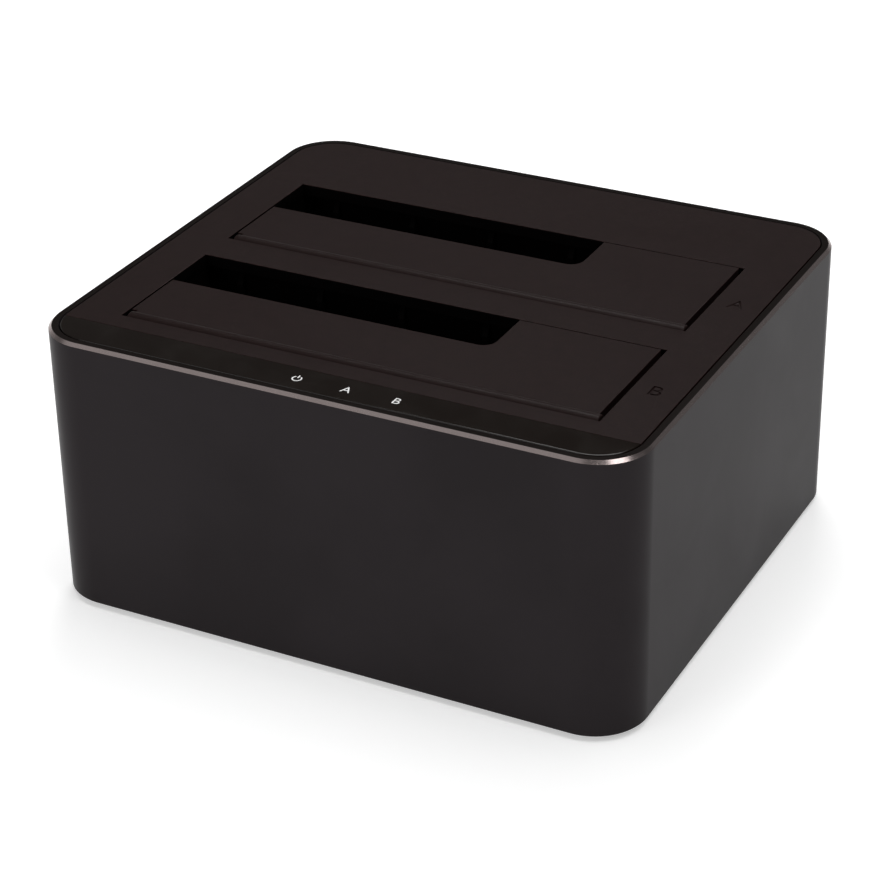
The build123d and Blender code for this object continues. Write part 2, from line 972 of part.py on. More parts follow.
def capacitors():
    """Round cans on square feet."""
    cans = []
    foot_half = capacitor_radius + capacitor_foot_reach
    can_top = board_top + capacitor_height
    for i in range(capacitor_count):
        x = capacitor_x - i * power_part_pitch
        foot = block(
            x - foot_half,
            x + foot_half,
            power_part_y - foot_half,
            power_part_y + foot_half,
            board_top,
            board_top + capacitor_foot_height,
        )
        cans.append(foot + prism_z(capacitor_radius, board_top, can_top, x, power_part_y))
    return cans


def usb_mouth():
    """The data socket's opening: a wide lower part, sloping shoulders and a narrow upper part."""
    half = usb_mouth_width / 2
    upper = usb_upper_width / 2
    top = usb_mouth_height + usb_upper_height
    points = [
        (-half, 0),
        (half, 0),
        (half, usb_mouth_height - usb_mouth_slope),
        (upper, usb_mouth_height),
        (upper, top),
        (-upper, top),
        (-upper, usb_mouth_height),
        (-half, usb_mouth_height - usb_mouth_slope),
    ]
    return outline_of(points)


def usb_outline(wall):
    inset = 2 * wall
    return RectangleRounded(usb_width - inset, usb_height - inset, usb_corner_radius)


def usb_shell():
    """The metal shell of the data socket, open at the front and the back."""
    z = board_top + usb_height / 2
    body = slab_y(usb_outline(0), usb_x, z, plate_outer - usb_length, plate_outer)
    return body - slab_y(
        usb_outline(usb_shell_wall),
        usb_x,
        z,
        plate_outer - usb_length - overrun,
        plate_outer + overrun,
    )


def usb_tongue(width, rise, height):
    """A tongue in the socket's mouth, at a height above the mouth's lower edge."""
    z0 = board_top + usb_shell_wall + usb_mouth_rise + rise
    return block(
        usb_x - width / 2,
        usb_x + width / 2,
        plate_outer - usb_mouth_depth - overrun,
        plate_outer - usb_tongue_setback,
        z0,
        z0 + height,
    )


def usb_upper_rise():
    return usb_mouth_height + (usb_upper_height - usb_upper_tongue_height) / 2


def usb_insulator():
    """The moulding inside the shell, with the mouth and both tongues."""
    z = board_top + usb_height / 2
    setback = usb_shell_wall
    body = slab_y(
        usb_outline(usb_shell_wall), usb_x, z, plate_outer - usb_length, plate_outer - setback
    )
    body -= slab_y(
        usb_mouth(),
        usb_x,
        board_top + usb_shell_wall + usb_mouth_rise,
        plate_outer - usb_mouth_depth,
        plate_outer + overrun,
    )
    body += usb_tongue(usb_tongue_width, usb_tongue_rise, usb_tongue_height)
    body += usb_tongue(usb_upper_tongue_width, usb_upper_rise(), usb_upper_tongue_height)
    return body


def usb_contacts():
    """Two contacts above and two below the lower tongue, and five under the upper one."""
    mouth_z = board_top + usb_shell_wall + usb_mouth_rise
    y1 = plate_outer - usb_tongue_setback - usb_shell_wall
    y0 = y1 - usb_contact_length
    contacts = []
    low = mouth_z + usb_tongue_rise
    high = low + usb_tongue_height
    for side in (-1, 1):
        x = usb_x + side * usb_contact_pitch / 2
        half = usb_contact_width / 2
        contacts.append(block(x - half, x + half, y0, y1, low - usb_contact_thickness, low))
        contacts.append(block(x - half, x + half, y0, y1, high, high + usb_contact_thickness))
    half_row = usb_upper_contact_pitch * (usb_upper_contact_count - 1) / 2
    z = mouth_z + usb_upper_rise()
    for x in spread(usb_x - half_row, usb_x + half_row, usb_upper_contact_count):
        half = usb_upper_contact_width / 2
        contacts.append(block(x - half, x + half, y0, y1, z - usb_contact_thickness, z))
    return contacts


def dc_jack():
    """The power inlet's body: a block with a round bore and a shallow ring round its mouth."""
    body = block(
        jack_x - jack_width / 2,
        jack_x + jack_width / 2,
        plate_outer - jack_length,
        plate_outer,
        board_top,
        board_top + jack_height,
    )
    z = board_top + jack_height / 2
    body -= rod_y(jack_ring_radius, plate_outer - jack_ring_depth, plate_outer + overrun, jack_x, z)
    return body - rod_y(
        jack_bore_radius, plate_outer - jack_bore_depth, plate_outer + overrun, jack_x, z
    )


def dc_pin():
    """The inlet's centre pin."""
    z = board_top + jack_height / 2
    tip = plate_outer - jack_pin_setback
    return rod_y(jack_pin_radius, plate_outer - jack_bore_depth, tip, jack_x, z)


def rear_plate():
    """The port plate behind the sleeve's window, with a hole for each port."""
    body = block(
        window_left - plate_overlap,
        window_right + plate_overlap,
        plate_inner,
        plate_outer - plate_gap,
        base_top + plate_gap,
        window_z + window_height / 2 + plate_overlap,
    )
    y0 = plate_inner - overrun
    y1 = plate_outer + overrun
    body -= block(
        usb_x - usb_width / 2 - port_gap,
        usb_x + usb_width / 2 + port_gap,
        y0,
        y1,
        board_top - port_gap,
        board_top + usb_height + port_gap,
    )
    body -= block(
        jack_x - jack_width / 2 - port_gap,
        jack_x + jack_width / 2 + port_gap,
        y0,
        y1,
        board_top - port_gap,
        board_top + jack_height + port_gap,
    )
    body -= block(
        switch_x - switch_body_width / 2 - port_gap,
        switch_x + switch_body_width / 2 + port_gap,
        y0,
        y1,
        window_z - switch_body_height / 2 - port_gap,
        window_z + switch_body_height / 2 + port_gap,
    )
    return body


def switch_housing():
    """The switch's housing: a bezel in front of the plate and a box behind it."""
    bezel = RectangleRounded(switch_bezel_width, switch_bezel_height, switch_bezel_radius)
    body = slab_y(bezel, switch_x, window_z, plate_outer, switch_face)
    body += block(
        switch_x - switch_body_width / 2,
        switch_x + switch_body_width / 2,
        switch_back,
        plate_outer,
        window_z - switch_body_height / 2,
        window_z + switch_body_height / 2,
    )
    body -= block(
        switch_x - switch_cavity_radius,
        switch_x + switch_cavity_radius,
        rocker_y - switch_cavity_depth,
        switch_face + overrun,
        window_z - switch_cavity_height / 2,
        window_z + switch_cavity_height / 2,
    )
    axle_half = rocker_height / 2 + rocker_axle_reach + rocker_axle_gap
    return body - rod_z(
        rocker_axle_radius + rocker_axle_gap,
        window_z - axle_half,
        window_z + axle_half,
        switch_x,
        rocker_y,
    )


def switch_rocker():
    """The rocker: its ends are arcs about the axle, and its face is a shallow V."""
    rise = rocker_radius * math.tan(math.radians(rocker_tilt))
    points = [
        (-rocker_radius, -rocker_keel),
        (rocker_radius, -rocker_keel),
        (rocker_radius, rocker_valley + rise),
        (0, rocker_valley),
        (-rocker_radius, rocker_valley + rise),
    ]
    outline = outline_of(points) & Circle(rocker_radius)
    body = Pos(0, 0, -rocker_height / 2) * extrude(outline, rocker_height)
    body += Cylinder(rocker_axle_radius, rocker_height + 2 * rocker_axle_reach)
    return Pos(switch_x, rocker_y, window_z) * Rot(0, 0, -rocker_tilt) * body


def switch_terminals():
    """Two bent blades from the switch's back down to the board."""
    blades = []
    for side in (-1, 1):
        x0 = switch_x + side * terminal_pitch / 2 - terminal_width / 2
        x1 = x0 + terminal_width
        y = switch_back - terminal_reach
        z1 = window_z + terminal_thickness / 2
        z0 = window_z - terminal_thickness / 2
        blade = block(x0, x1, y, switch_back, z0, z1)
        blade += block(x0, x1, y, y + terminal_thickness, board_top, z1)
        blades.append(blade)
    return blades


def base_cover():
    """The base: a plate with board bosses, screw bosses, foot pockets, vents and plate keepers."""
    rebate = 2 * (rim_wall + base_gap)
    body = rounded_block(
        sleeve_width - rebate,
        sleeve_depth - rebate,
        corner_radius - rim_wall - base_gap,
        base_bottom,
        base_top,
    )
    for x, y in board_screw_places():
        body += prism_z(board_boss_radius, base_top, board_bottom, x, y)
    for x, y in four(post_x, post_y):
        body += prism_z(base_boss_radius, base_top, base_top + base_boss_height, x, y)
    keeper_rear = plate_inner - plate_keeper_gap
    for x0 in (window_left - plate_overlap, window_right + plate_overlap - plate_keeper_length):
        body += block(
            x0,
            x0 + plate_keeper_length,
            keeper_rear - plate_keeper_width,
            keeper_rear,
            base_top,
            base_top + plate_keeper_height,
        )
    foot_x = sleeve_width / 2 - foot_inset_x
    foot_y = sleeve_depth / 2 - foot_inset_y
    for x, y in four(foot_x, foot_y):
        body -= rod_z(
            foot_radius + foot_pocket_gap,
            base_bottom - overrun,
            base_bottom + foot_pocket_depth,
            x,
            y,
        )
    for x, y in four(post_x, post_y):
        body -= prism_z(
            base_screw_head_radius + base_screw_head_gap,
            base_bottom - overrun,
            base_bottom + base_screw_head_height,
            x,
            y,
        )
        body -= prism_z(
            base_screw_radius + base_screw_hole_gap,
            base_bottom,
            base_top + base_boss_height + overrun,
            x,
            y,
        )
    for x, y in board_screw_places():
        body -= prism_z(
            small_screw_radius + thread_gap,
            board_top - small_screw_length - pilot_end_gap,
            board_bottom + overrun,
            x,
            y,
        )
    half_row = vent_pitch * (vent_count - 1) / 2
    for x in spread(-half_row, half_row, vent_count):
        for y in spread(-vent_row_offset, vent_row_offset, vent_row_count):
            body -= block(
                x - vent_width / 2,
                x + vent_width / 2,
                y - vent_length / 2,
                y + vent_length / 2,
                base_bottom - overrun,
                base_top + overrun,
            )
    return body


def rubber_feet():
    feet = []
    for x, y in four(sleeve_width / 2 - foot_inset_x, sleeve_depth / 2 - foot_inset_y):
        feet.append(rod_z(foot_radius, 0, base_bottom + foot_pocket_depth, x, y))
    return feet


def screw_up(x, y, seat, radius, length, head_radius, head_height):
    """A screw that goes up from its head's upper face, which lies at seat."""
    body = prism_z(head_radius, seat - head_height, seat, x, y)
    return body + prism_z(radius, seat, seat + length, x, y)


def base_screws():
    seat = base_bottom + base_screw_head_height
    length = base_screw_length - base_screw_head_height
    return [
        screw_up(
            x,
            y,
            seat,
            base_screw_radius,
            length,
            base_screw_head_radius,
            base_screw_head_height,
        )
        for x, y in four(post_x, post_y)
    ]


def small_screw_up(x, y, seat):
    return screw_up(
        x,
        y,
        seat,
        small_screw_radius,
        small_screw_length,
        small_screw_head_radius,
        small_screw_head_height,
    )


def well_screws():
    seat = panel_bottom - well_boss_height - well_ear_thickness
    places = ear_places(bay_a_rear) + ear_places(bay_b_rear)
    return [small_screw_up(x, y, seat) for x, y in places]


def board_screws():
    """Screws that go down through the board into the base's bosses."""
    screws = []
    for x, y in board_screw_places():
        head_top = board_top + small_screw_head_height
        body = prism_z(small_screw_head_radius, board_top, head_top, x, y)
        body += prism_z(small_screw_radius, board_top - small_screw_length, board_top, x, y)
        screws.append(body)
    return screws


def save(name, shape):
    """Writes one node. A list is a group of separate solids."""
    solids = shape if isinstance(shape, list) else [shape]
    whole = Compound(children=[s for piece in solids for s in piece.solids()])
    export_step(whole, f"parts/{name}.step")


def main():
    os.makedirs("parts", exist_ok=True)
    save("outer_sleeve", outer_sleeve())
    save("top_panel", top_panel())
    save("indicator_strip", indicator_strip())
    for letter, rear in (("a", bay_a_rear), ("b", bay_b_rear)):
        save(f"flap_{letter}", flap(rear))
        save(f"hinge_pins_{letter}", hinge_pins(rear))
        save(f"flap_spring_{letter}", flap_spring(rear))
        save(f"well_{letter}", well(rear))
        save(f"sata_socket_{letter}", sata_socket(rear))
        save(f"sata_contacts_{letter}", sata_contacts(rear))
    save("well_screws", well_screws())
    save("main_board", main_board())
    save("board_screws", board_screws())
    save("indicator_leds", indicator_leds())
    save("light_pipe", light_pipe())
    save("controller_chip", controller_chip())
    save("flash_chip", flash_chip())
    save("crystal", crystal())
    save("inductors", inductors())
    save("capacitors", capacitors())
    save("rear_plate", rear_plate())
    save("usb_shell", usb_shell())
    save("usb_insulator", usb_insulator())
    save("usb_contacts", usb_contacts())
    save("dc_jack", dc_jack())
    save("dc_pin", dc_pin())
    save("switch_housing", switch_housing())
    save("switch_rocker", switch_rocker())
    save("switch_terminals", switch_terminals())
    save("base_cover", base_cover())
    save("rubber_feet", rubber_feet())
    save("base_screws", base_screws())


main()
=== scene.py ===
import math

import bmesh
import bpy
from mathutils import Matrix, Vector
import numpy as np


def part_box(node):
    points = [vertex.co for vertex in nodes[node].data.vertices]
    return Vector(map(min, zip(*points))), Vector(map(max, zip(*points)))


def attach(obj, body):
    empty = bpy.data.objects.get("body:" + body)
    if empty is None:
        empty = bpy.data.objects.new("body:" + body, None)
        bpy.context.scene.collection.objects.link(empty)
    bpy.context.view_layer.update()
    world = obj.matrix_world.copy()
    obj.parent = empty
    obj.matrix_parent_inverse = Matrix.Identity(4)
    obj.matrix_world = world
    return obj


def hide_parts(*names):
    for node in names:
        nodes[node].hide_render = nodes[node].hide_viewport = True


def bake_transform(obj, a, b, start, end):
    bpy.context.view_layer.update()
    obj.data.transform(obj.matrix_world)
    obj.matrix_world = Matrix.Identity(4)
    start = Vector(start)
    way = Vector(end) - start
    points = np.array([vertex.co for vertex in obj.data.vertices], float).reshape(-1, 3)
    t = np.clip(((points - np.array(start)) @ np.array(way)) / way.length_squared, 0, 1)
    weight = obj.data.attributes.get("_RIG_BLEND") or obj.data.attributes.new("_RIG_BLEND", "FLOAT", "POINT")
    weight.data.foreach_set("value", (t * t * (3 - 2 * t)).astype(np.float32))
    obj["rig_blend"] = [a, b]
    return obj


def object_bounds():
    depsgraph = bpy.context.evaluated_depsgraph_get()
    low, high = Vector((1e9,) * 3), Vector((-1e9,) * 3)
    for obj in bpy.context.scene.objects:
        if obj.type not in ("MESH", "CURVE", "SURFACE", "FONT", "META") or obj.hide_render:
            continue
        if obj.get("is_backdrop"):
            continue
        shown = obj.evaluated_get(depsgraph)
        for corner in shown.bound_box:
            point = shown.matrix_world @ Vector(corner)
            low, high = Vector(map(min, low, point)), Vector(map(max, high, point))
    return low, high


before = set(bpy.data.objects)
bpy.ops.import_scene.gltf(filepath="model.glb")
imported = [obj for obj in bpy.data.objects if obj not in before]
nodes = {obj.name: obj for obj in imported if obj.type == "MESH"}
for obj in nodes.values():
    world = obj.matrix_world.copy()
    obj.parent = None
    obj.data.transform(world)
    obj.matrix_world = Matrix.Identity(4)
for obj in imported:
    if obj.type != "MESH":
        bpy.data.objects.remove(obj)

# %% [markdown]
# A docking station with two drive bays. Its engineering model is loaded above as a fixed frame,
# in metres, with +X to the right of a viewer at the front, +Y to the rear and +Z up. This lesson
# dresses that frame: it gives each part a finish, and it builds finer shapes for the parts that
# catch the light. The box of the bare model is kept first, so that the dressed one can be
# compared with it at the end.

# %% The frame's own box
cad_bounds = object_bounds()
mm = 0.001
print("nodes in the frame:", len(nodes))

# %% [markdown]
# The camera stands where the photographer stood: to the right of the front and above it, with a
# long lens. It could be placed by eye and nudged. Here its place is worked out from two angles, a
# distance and a small roll, because those numbers can be fitted to the object's straight edges,
# and each of them means something to a photographer.

# %% The camera
view_azimuth = math.radians(27.54)
view_elevation = math.radians(28.67)
view_roll = math.radians(-1.02)
view_distance = 546.08 * mm
focal_pixels = 2601.66
image_pixels = 878
sensor_width = 36.0
aim_height = 34.41 * mm
aim_right = -2.75 * mm
aim_up = -9.04 * mm

camera_data = bpy.data.cameras.new("camera")
camera_data.sensor_width = sensor_width
camera_data.lens = focal_pixels * sensor_width / image_pixels
camera_data.clip_start = 10 * mm
camera = bpy.data.objects.new("camera", camera_data)
bpy.context.scene.collection.objects.link(camera)
turned_round = Matrix.Rotation(view_azimuth, 4, "Z")
tipped = Matrix.Rotation(math.pi / 2 - view_elevation, 4, "X")
rolled = Matrix.Rotation(view_roll, 4, "Z")
aim = Matrix.Translation((0, 0, aim_height))
stand_off = Matrix.Translation((aim_right, aim_up, view_distance))
camera.matrix_world = aim @ turned_round @ tipped @ rolled @ stand_off
bpy.context.scene.camera = camera
print("lens", round(camera_data.lens, 1), "mm")

# %% [markdown]
# Shaders and rules for shapes are both small graphs of nodes. The next helpers add a node, give
# its inputs values or links by name, and do sums, so that each graph below reads as a short list
# of what it is made of. The last two start a material and put an object in the scene.


# %% Helpers for graphs
def put(tree, socket, value):
    """Gives an input a value, or links a socket to it. A colour may leave out its alpha."""
    if isinstance(value, bpy.types.NodeSocket):
        tree.links.new(value, socket)
    elif socket.type == "RGBA" and len(value) == 3:
        socket.default_value = (*value, 1)
    else:
        socket.default_value = value


def fill(tree, node, **values):
    """Sets a node. Names in lower case are its properties, and the rest are its inputs."""
    for name, value in values.items():
        if name[0].islower():
            setattr(node, name, value)
        else:
            put(tree, node.inputs[name.replace("_", " ")], value)
    return node


def add_node(tree, kind, **values):
    """A new node, filled in."""
    return fill(tree, tree.nodes.new(kind), **values)


def output_of(tree, kind, **values):
    """The first output of a new node."""
    return add_node(tree, kind, **values).outputs[0]


def calculate(tree, operation, *values, **settings):
    """Math on sockets and numbers."""
    node = add_node(tree, "ShaderNodeMath", operation=operation, **settings)
    for socket, value in zip(node.inputs, values):
        put(tree, socket, value)
    return node.outputs[0]


def product(tree, first, *others):
    """Sockets and numbers multiplied, in their order."""
    for other in others:
        first = calculate(tree, "MULTIPLY", first, other)
    return first


def remap(tree, value, low, high, to_low=0.0, to_high=1.0):
    """A value's range from low to high, spread over another range and held there."""
    source = {"Value": value, "From_Min": low, "From_Max": high}
    return output_of(tree, "ShaderNodeMapRange", **source, To_Min=to_low, To_Max=to_high)


def mix_colours(tree, factor, first, second, **settings):
    """One colour that gives way to another. Each is a value or a socket."""
    node = add_node(tree, "ShaderNodeMix", data_type="RGBA", **settings)
    factor_input, first_input, second_input, colour_output = 0, 6, 7, 2
    put(tree, node.inputs[factor_input], factor)
    put(tree, node.inputs[first_input], first)
    put(tree, node.inputs[second_input], second)
    return node.outputs[colour_output]


def new_material(name):
    """A material with its Principled shader. Returns the material, its tree and the shader."""
    material = bpy.data.materials.new(name)
    material.use_nodes = True
    tree = material.node_tree
    return material, tree, tree.nodes["Principled BSDF"]


def shown(name, data):
    """A new object in the scene."""
    piece = bpy.data.objects.new(name, data)
    bpy.context.scene.collection.objects.link(piece)
    return piece


# %% [markdown]
# The studio is a pale floor under a soft sky. The floor could be made white by strong lamps, but
# then the black object would be lit too strongly as well. Instead the floor adds some light of
# its own for rays that come from the camera or bounce off gloss, so it looks white there and
# still takes the object's soft shadow. The sky is pale at the horizon and darker overhead, as in
# a studio with a white cove, and it darkens a little towards the right.

# %% The floor
floor_size = 12.0
floor_colour = (0.8, 0.8, 0.8)
floor_glow = 0.45

half = floor_size / 2
floor_corners = [(-half, -half, 0), (half, -half, 0), (half, half, 0), (-half, half, 0)]
floor_mesh = bpy.data.meshes.new("floor")
floor_mesh.from_pydata(floor_corners, [], [(0, 1, 2, 3)])
floor = shown("floor", floor_mesh)
floor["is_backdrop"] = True

floor_paint, tree, shader = new_material("floor_paint")
path = add_node(tree, "ShaderNodeLightPath").outputs
seen = calculate(tree, "MAXIMUM", path["Is Camera Ray"], path["Is Glossy Ray"])
seen = calculate(tree, "MAXIMUM", seen, path["Is Transmission Ray"])
glow = product(tree, seen, floor_glow)
fill(tree, shader, Base_Color=floor_colour, Roughness=1.0, Specular_IOR_Level=0.0)
fill(tree, shader, Emission_Color=(1, 1, 1), Emission_Strength=glow)
floor_mesh.materials.append(floor_paint)
print("floor", floor_size, "m wide")

# %% The sky
sky_by_height = [(0.0, 1.0), (0.15, 0.42), (0.45, 0.135), (0.70, 0.22)]
sky_by_side = [(-0.9, 1.0), (-0.6, 0.7), (0.5, 0.56)]


def grey_ramp(tree, value, stops):
    """A ramp of greys through stops of (position, grey), with positions from -1 to 1."""
    ramp = add_node(tree, "ShaderNodeValToRGB", Fac=remap(tree, value, -1.0, 1.0))
    elements = ramp.color_ramp.elements
    while len(elements) < len(stops):
        elements.new(0.5)
    for element, (position, grey) in zip(elements, stops):
        element.position = (position + 1) / 2
        element.color = (grey, grey, grey, 1)
    return ramp.outputs[0]


world = bpy.data.worlds.new("sky")
world.use_nodes = True
bpy.context.scene.world = world
tree = world.node_tree
direction = add_node(tree, "ShaderNodeTexCoord").outputs["Generated"]
split = add_node(tree, "ShaderNodeSeparateXYZ", Vector=direction).outputs
by_height = grey_ramp(tree, split["Z"], sky_by_height)
by_side = grey_ramp(tree, split["X"], sky_by_side)
sky_colour = mix_colours(tree, 1.0, by_height, by_side, blend_type="MULTIPLY")
fill(tree, tree.nodes["Background"], Color=sky_colour)
bpy.context.scene.view_settings.view_transform = "Standard"
print("sky has", len(tree.nodes), "nodes")

# %% [markdown]
# Five soft boxes stand round the object. A wide one overhead gives most of the light. The bright
# corner of the polished rim reflects the one on the right, the rest of the rim's front reflects
# the wide one on the left, and the crests of the hinge barrels reflect the one at the rear. The
# one at the front lifts the sleeve's front. Each is an area lamp that points at the object.

# %% The lamps
soft_boxes = {  # where it stands and how wide it is, in metres, and its power in watts
    "right_box": ((0.50, -0.14, 0.78), 0.36, 1.3),
    "left_box": ((-0.62, -0.60, 0.96), 0.95, 0.9),
    "rear_box": ((-0.22, 0.50, 0.84), 0.30, 2.3),
    "front_box": ((-0.45, -0.95, 0.50), 0.50, 1.7),
    "top_box": ((0.05, 0.12, 1.25), 1.0, 8.4),
}
for name, (place, width, power) in soft_boxes.items():
    data = bpy.data.lights.new(name, "AREA")
    data.shape = "SQUARE"
    data.size = width
    data.energy = power
    away = Vector(place)
    aimed = away.to_track_quat("Z", "Y").to_matrix().to_4x4()
    shown(name, data).matrix_world = Matrix.Translation(away) @ aimed
print("lamps:", list(soft_boxes))

# %% [markdown]
# Real surfaces vary in small ways: moulded plastic has a fine grain, hands leave faint smudges,
# edges rub bright, with a painted highlight added along them, and dust settles on what faces up.
# These effects return in many finishes, so each is a shader group with named inputs, built once.
# A group puts out only masks and heights; the shader itself stays in each material.


# %% Helpers for shared effects
def new_effect(name, outputs, **inputs):
    """A group with a place and these inputs. An input with no value is a vector."""
    tree = bpy.data.node_groups.new(name, "ShaderNodeTree")
    for label, value in {"Place": None, **inputs}.items():
        kind = "NodeSocketVector" if value is None else "NodeSocketFloat"
        socket = tree.interface.new_socket(label, in_out="INPUT", socket_type=kind)
        if value is not None:
            socket.default_value = value
    for label in outputs:
        tree.interface.new_socket(label, in_out="OUTPUT", socket_type="NodeSocketFloat")
    return tree, add_node(tree, "NodeGroupInput").outputs


def end_effect(tree, **outputs):
    """Sends a group's results out."""
    add_node(tree, "NodeGroupOutput", **outputs)
    print("effect", tree.name, "has", len(tree.nodes), "nodes")


def noise(tree, place, scale, **values):
    """Noise at a place."""
    node = add_node(tree, "ShaderNodeTexNoise", Vector=place, Scale=scale, **values)
    return node.outputs["Fac"]


# %% Effect: moulded grain
mottle_share = 0.06
tree, inlet = new_effect("moulded_grain", ["Height", "Mottle"], Grain=6000.0)
fine = noise(tree, inlet["Place"], inlet["Grain"], Detail=2.0)
coarse_scale = product(tree, inlet["Grain"], mottle_share)
coarse = noise(tree, inlet["Place"], coarse_scale, Detail=5.0, Roughness=0.7)
end_effect(tree, Height=remap(tree, fine, 0.3, 0.7), Mottle=remap(tree, coarse, 0.35, 0.65))

# %% Effect: smudges left by handling
tree, inlet = new_effect("handling", ["Smudge"], Patches=60.0)
cloud_form = {"Detail": 6.0, "Roughness": 0.62, "Distortion": 0.8}
cloud = noise(tree, inlet["Place"], inlet["Patches"], **cloud_form)
end_effect(tree, Smudge=remap(tree, cloud, 0.4, 0.66))

# %% Effect: dust on what faces up
drift_share = 0.03
tree, inlet = new_effect("settled_dust", ["Dust"], Specks=1500.0)
normal = add_node(tree, "ShaderNodeNewGeometry").outputs["Normal"]
facing = add_node(tree, "ShaderNodeSeparateXYZ", Vector=normal).outputs["Z"]
specks = noise(tree, inlet["Place"], inlet["Specks"], Detail=4.0)
drifts = noise(tree, inlet["Place"], product(tree, inlet["Specks"], drift_share), Detail=3.0)
patchy = product(tree, remap(tree, specks, 0.55, 0.72), remap(tree, drifts, 0.4, 0.65))
end_effect(tree, Dust=product(tree, patchy, remap(tree, facing, 0.6, 1.0)))

# %% Effect: worn edges with a painted highlight
# Rounded edges carry an attribute; patches on them get lighter, as wear and as a painted highlight.
tree, inlet = new_effect("rubbed_edges", ["Rubbed"], Patches=700.0)
edge_mark = add_node(tree, "ShaderNodeAttribute", attribute_name="worn_edge").outputs["Fac"]
patches = noise(tree, inlet["Place"], inlet["Patches"], Detail=3.0)
end_effect(tree, Rubbed=product(tree, edge_mark, remap(tree, patches, 0.35, 0.7)))

# %% Effect: streaks of brushed or turned metal
stain_scale = 220.0
tree, inlet = new_effect("metal_streaks", ["Streak", "Tarnish"], Stretch=None)
stretched = add_node(tree, "ShaderNodeVectorMath", operation="MULTIPLY")
put(tree, stretched.inputs[0], inlet["Place"])
put(tree, stretched.inputs[1], inlet["Stretch"])
streak = noise(tree, stretched.outputs[0], 1.0, Detail=4.0, Roughness=0.6)
stain = noise(tree, inlet["Place"], stain_scale, Detail=5.0, Distortion=0.5)
end_effect(tree, Streak=remap(tree, streak, 0.3, 0.7), Tarnish=remap(tree, stain, 0.45, 0.7))

# %% Effect: the fine pitting of blasted and anodised metal
cloud_share = 0.004
tree, inlet = new_effect("blasted_metal", ["Height", "Cloud"], Grain=9000.0)
pits = add_node(tree, "ShaderNodeTexVoronoi", feature="SMOOTH_F1", Smoothness=0.7)
fill(tree, pits, Vector=inlet["Place"], Scale=inlet["Grain"])
cloud_scale = product(tree, inlet["Grain"], cloud_share)
cloud = noise(tree, inlet["Place"], cloud_scale, Detail=4.0, Roughness=0.5)
height = remap(tree, pits.outputs["Distance"], 0.0, 0.8)
end_effect(tree, Height=height, Cloud=remap(tree, cloud, 0.38, 0.62))

# %% [markdown]
# Each finish is a Principled shader with its effects in front. Moulded plastic is made by one
# function, because the panel, the flaps, the wells and most inner parts differ only in their
# colour, gloss and grain. Metal gets a second function. What is unlike both has a cell of its own.


# %% Helpers for finishes
def coordinates(tree):
    """The object's own coordinates, in which every finish is drawn."""
    return add_node(tree, "ShaderNodeTexCoord").outputs["Object"]


def use_effect(tree, effect, place, **values):
    """The outputs of a shared effect placed in a material, with its own values."""
    group = bpy.data.node_groups[effect]
    return add_node(tree, "ShaderNodeGroup", node_tree=group, Place=place, **values).outputs


def bump(tree, height, depth):
    """The normal of a relief of this depth."""
    return output_of(tree, "ShaderNodeBump", Strength=1.0, Distance=depth, Height=height)


def shaded(colour, share):
    """The colour, lighter or darker by a share."""
    return tuple(channel * share for channel in colour)


# %% The function for moulded plastic
dust_colour = (0.16, 0.15, 0.14)
plastic_smudge = 17 * mm
mottle_dark, mottle_light = 0.9, 1.12
clean_rough, smudged_rough = 0.03, -0.05


def moulded(name, colour, rough, grain, depth, edge=2.2, dust=0.0, level=0.25):
    """Moulded plastic. Grain and depth are lengths; edge is how much brighter its edges are, as wear and a
    painted highlight.
    """
    material, tree, shader = new_material(name)
    place = coordinates(tree)
    grained = use_effect(tree, "moulded_grain", place, Grain=1 / grain)
    smudge = use_effect(tree, "handling", place, Patches=1 / plastic_smudge)["Smudge"]
    wear_and_highlight = use_effect(tree, "rubbed_edges", place)["Rubbed"]
    dark, light = shaded(colour, mottle_dark), shaded(colour, mottle_light)
    base = mix_colours(tree, grained["Mottle"], dark, light)
    # Edges are lighter, partly as wear and partly as a painted highlight.
    base = mix_colours(tree, wear_and_highlight, base, shaded(colour, edge))
    if dust:
        share = product(tree, use_effect(tree, "settled_dust", place)["Dust"], dust)
        base = mix_colours(tree, share, base, dust_colour)
    gloss = remap(tree, smudge, 0.0, 1.0, rough + clean_rough, rough + smudged_rough)
    relief = bump(tree, grained["Height"], depth)
    fill(tree, shader, Base_Color=base, Roughness=gloss, Specular_IOR_Level=level, Normal=relief)
    return material


# %% The function for bare and plated metal
streak_dark, stain_share = 0.9, 0.5
furrow_rough, crest_rough = 0.08, -0.04


def metal(name, colour, rough, stretch, depth, tarnish):
    """Metal with streaks. Stretch is how many streaks there are to a metre along each axis."""
    material, tree, shader = new_material(name)
    streaks = use_effect(tree, "metal_streaks", coordinates(tree), Stretch=stretch)
    base = mix_colours(tree, streaks["Streak"], shaded(colour, streak_dark), colour)
    stain = product(tree, streaks["Tarnish"], stain_share)
    base = mix_colours(tree, stain, base, shaded(colour, tarnish))
    furrow, crest = rough + furrow_rough, rough + crest_rough
    gloss = remap(tree, streaks["Streak"], 0.0, 1.0, furrow, crest)
    relief = bump(tree, streaks["Streak"], depth)
    fill(tree, shader, Base_Color=base, Metallic=1.0, Roughness=gloss, Normal=relief)
    return material


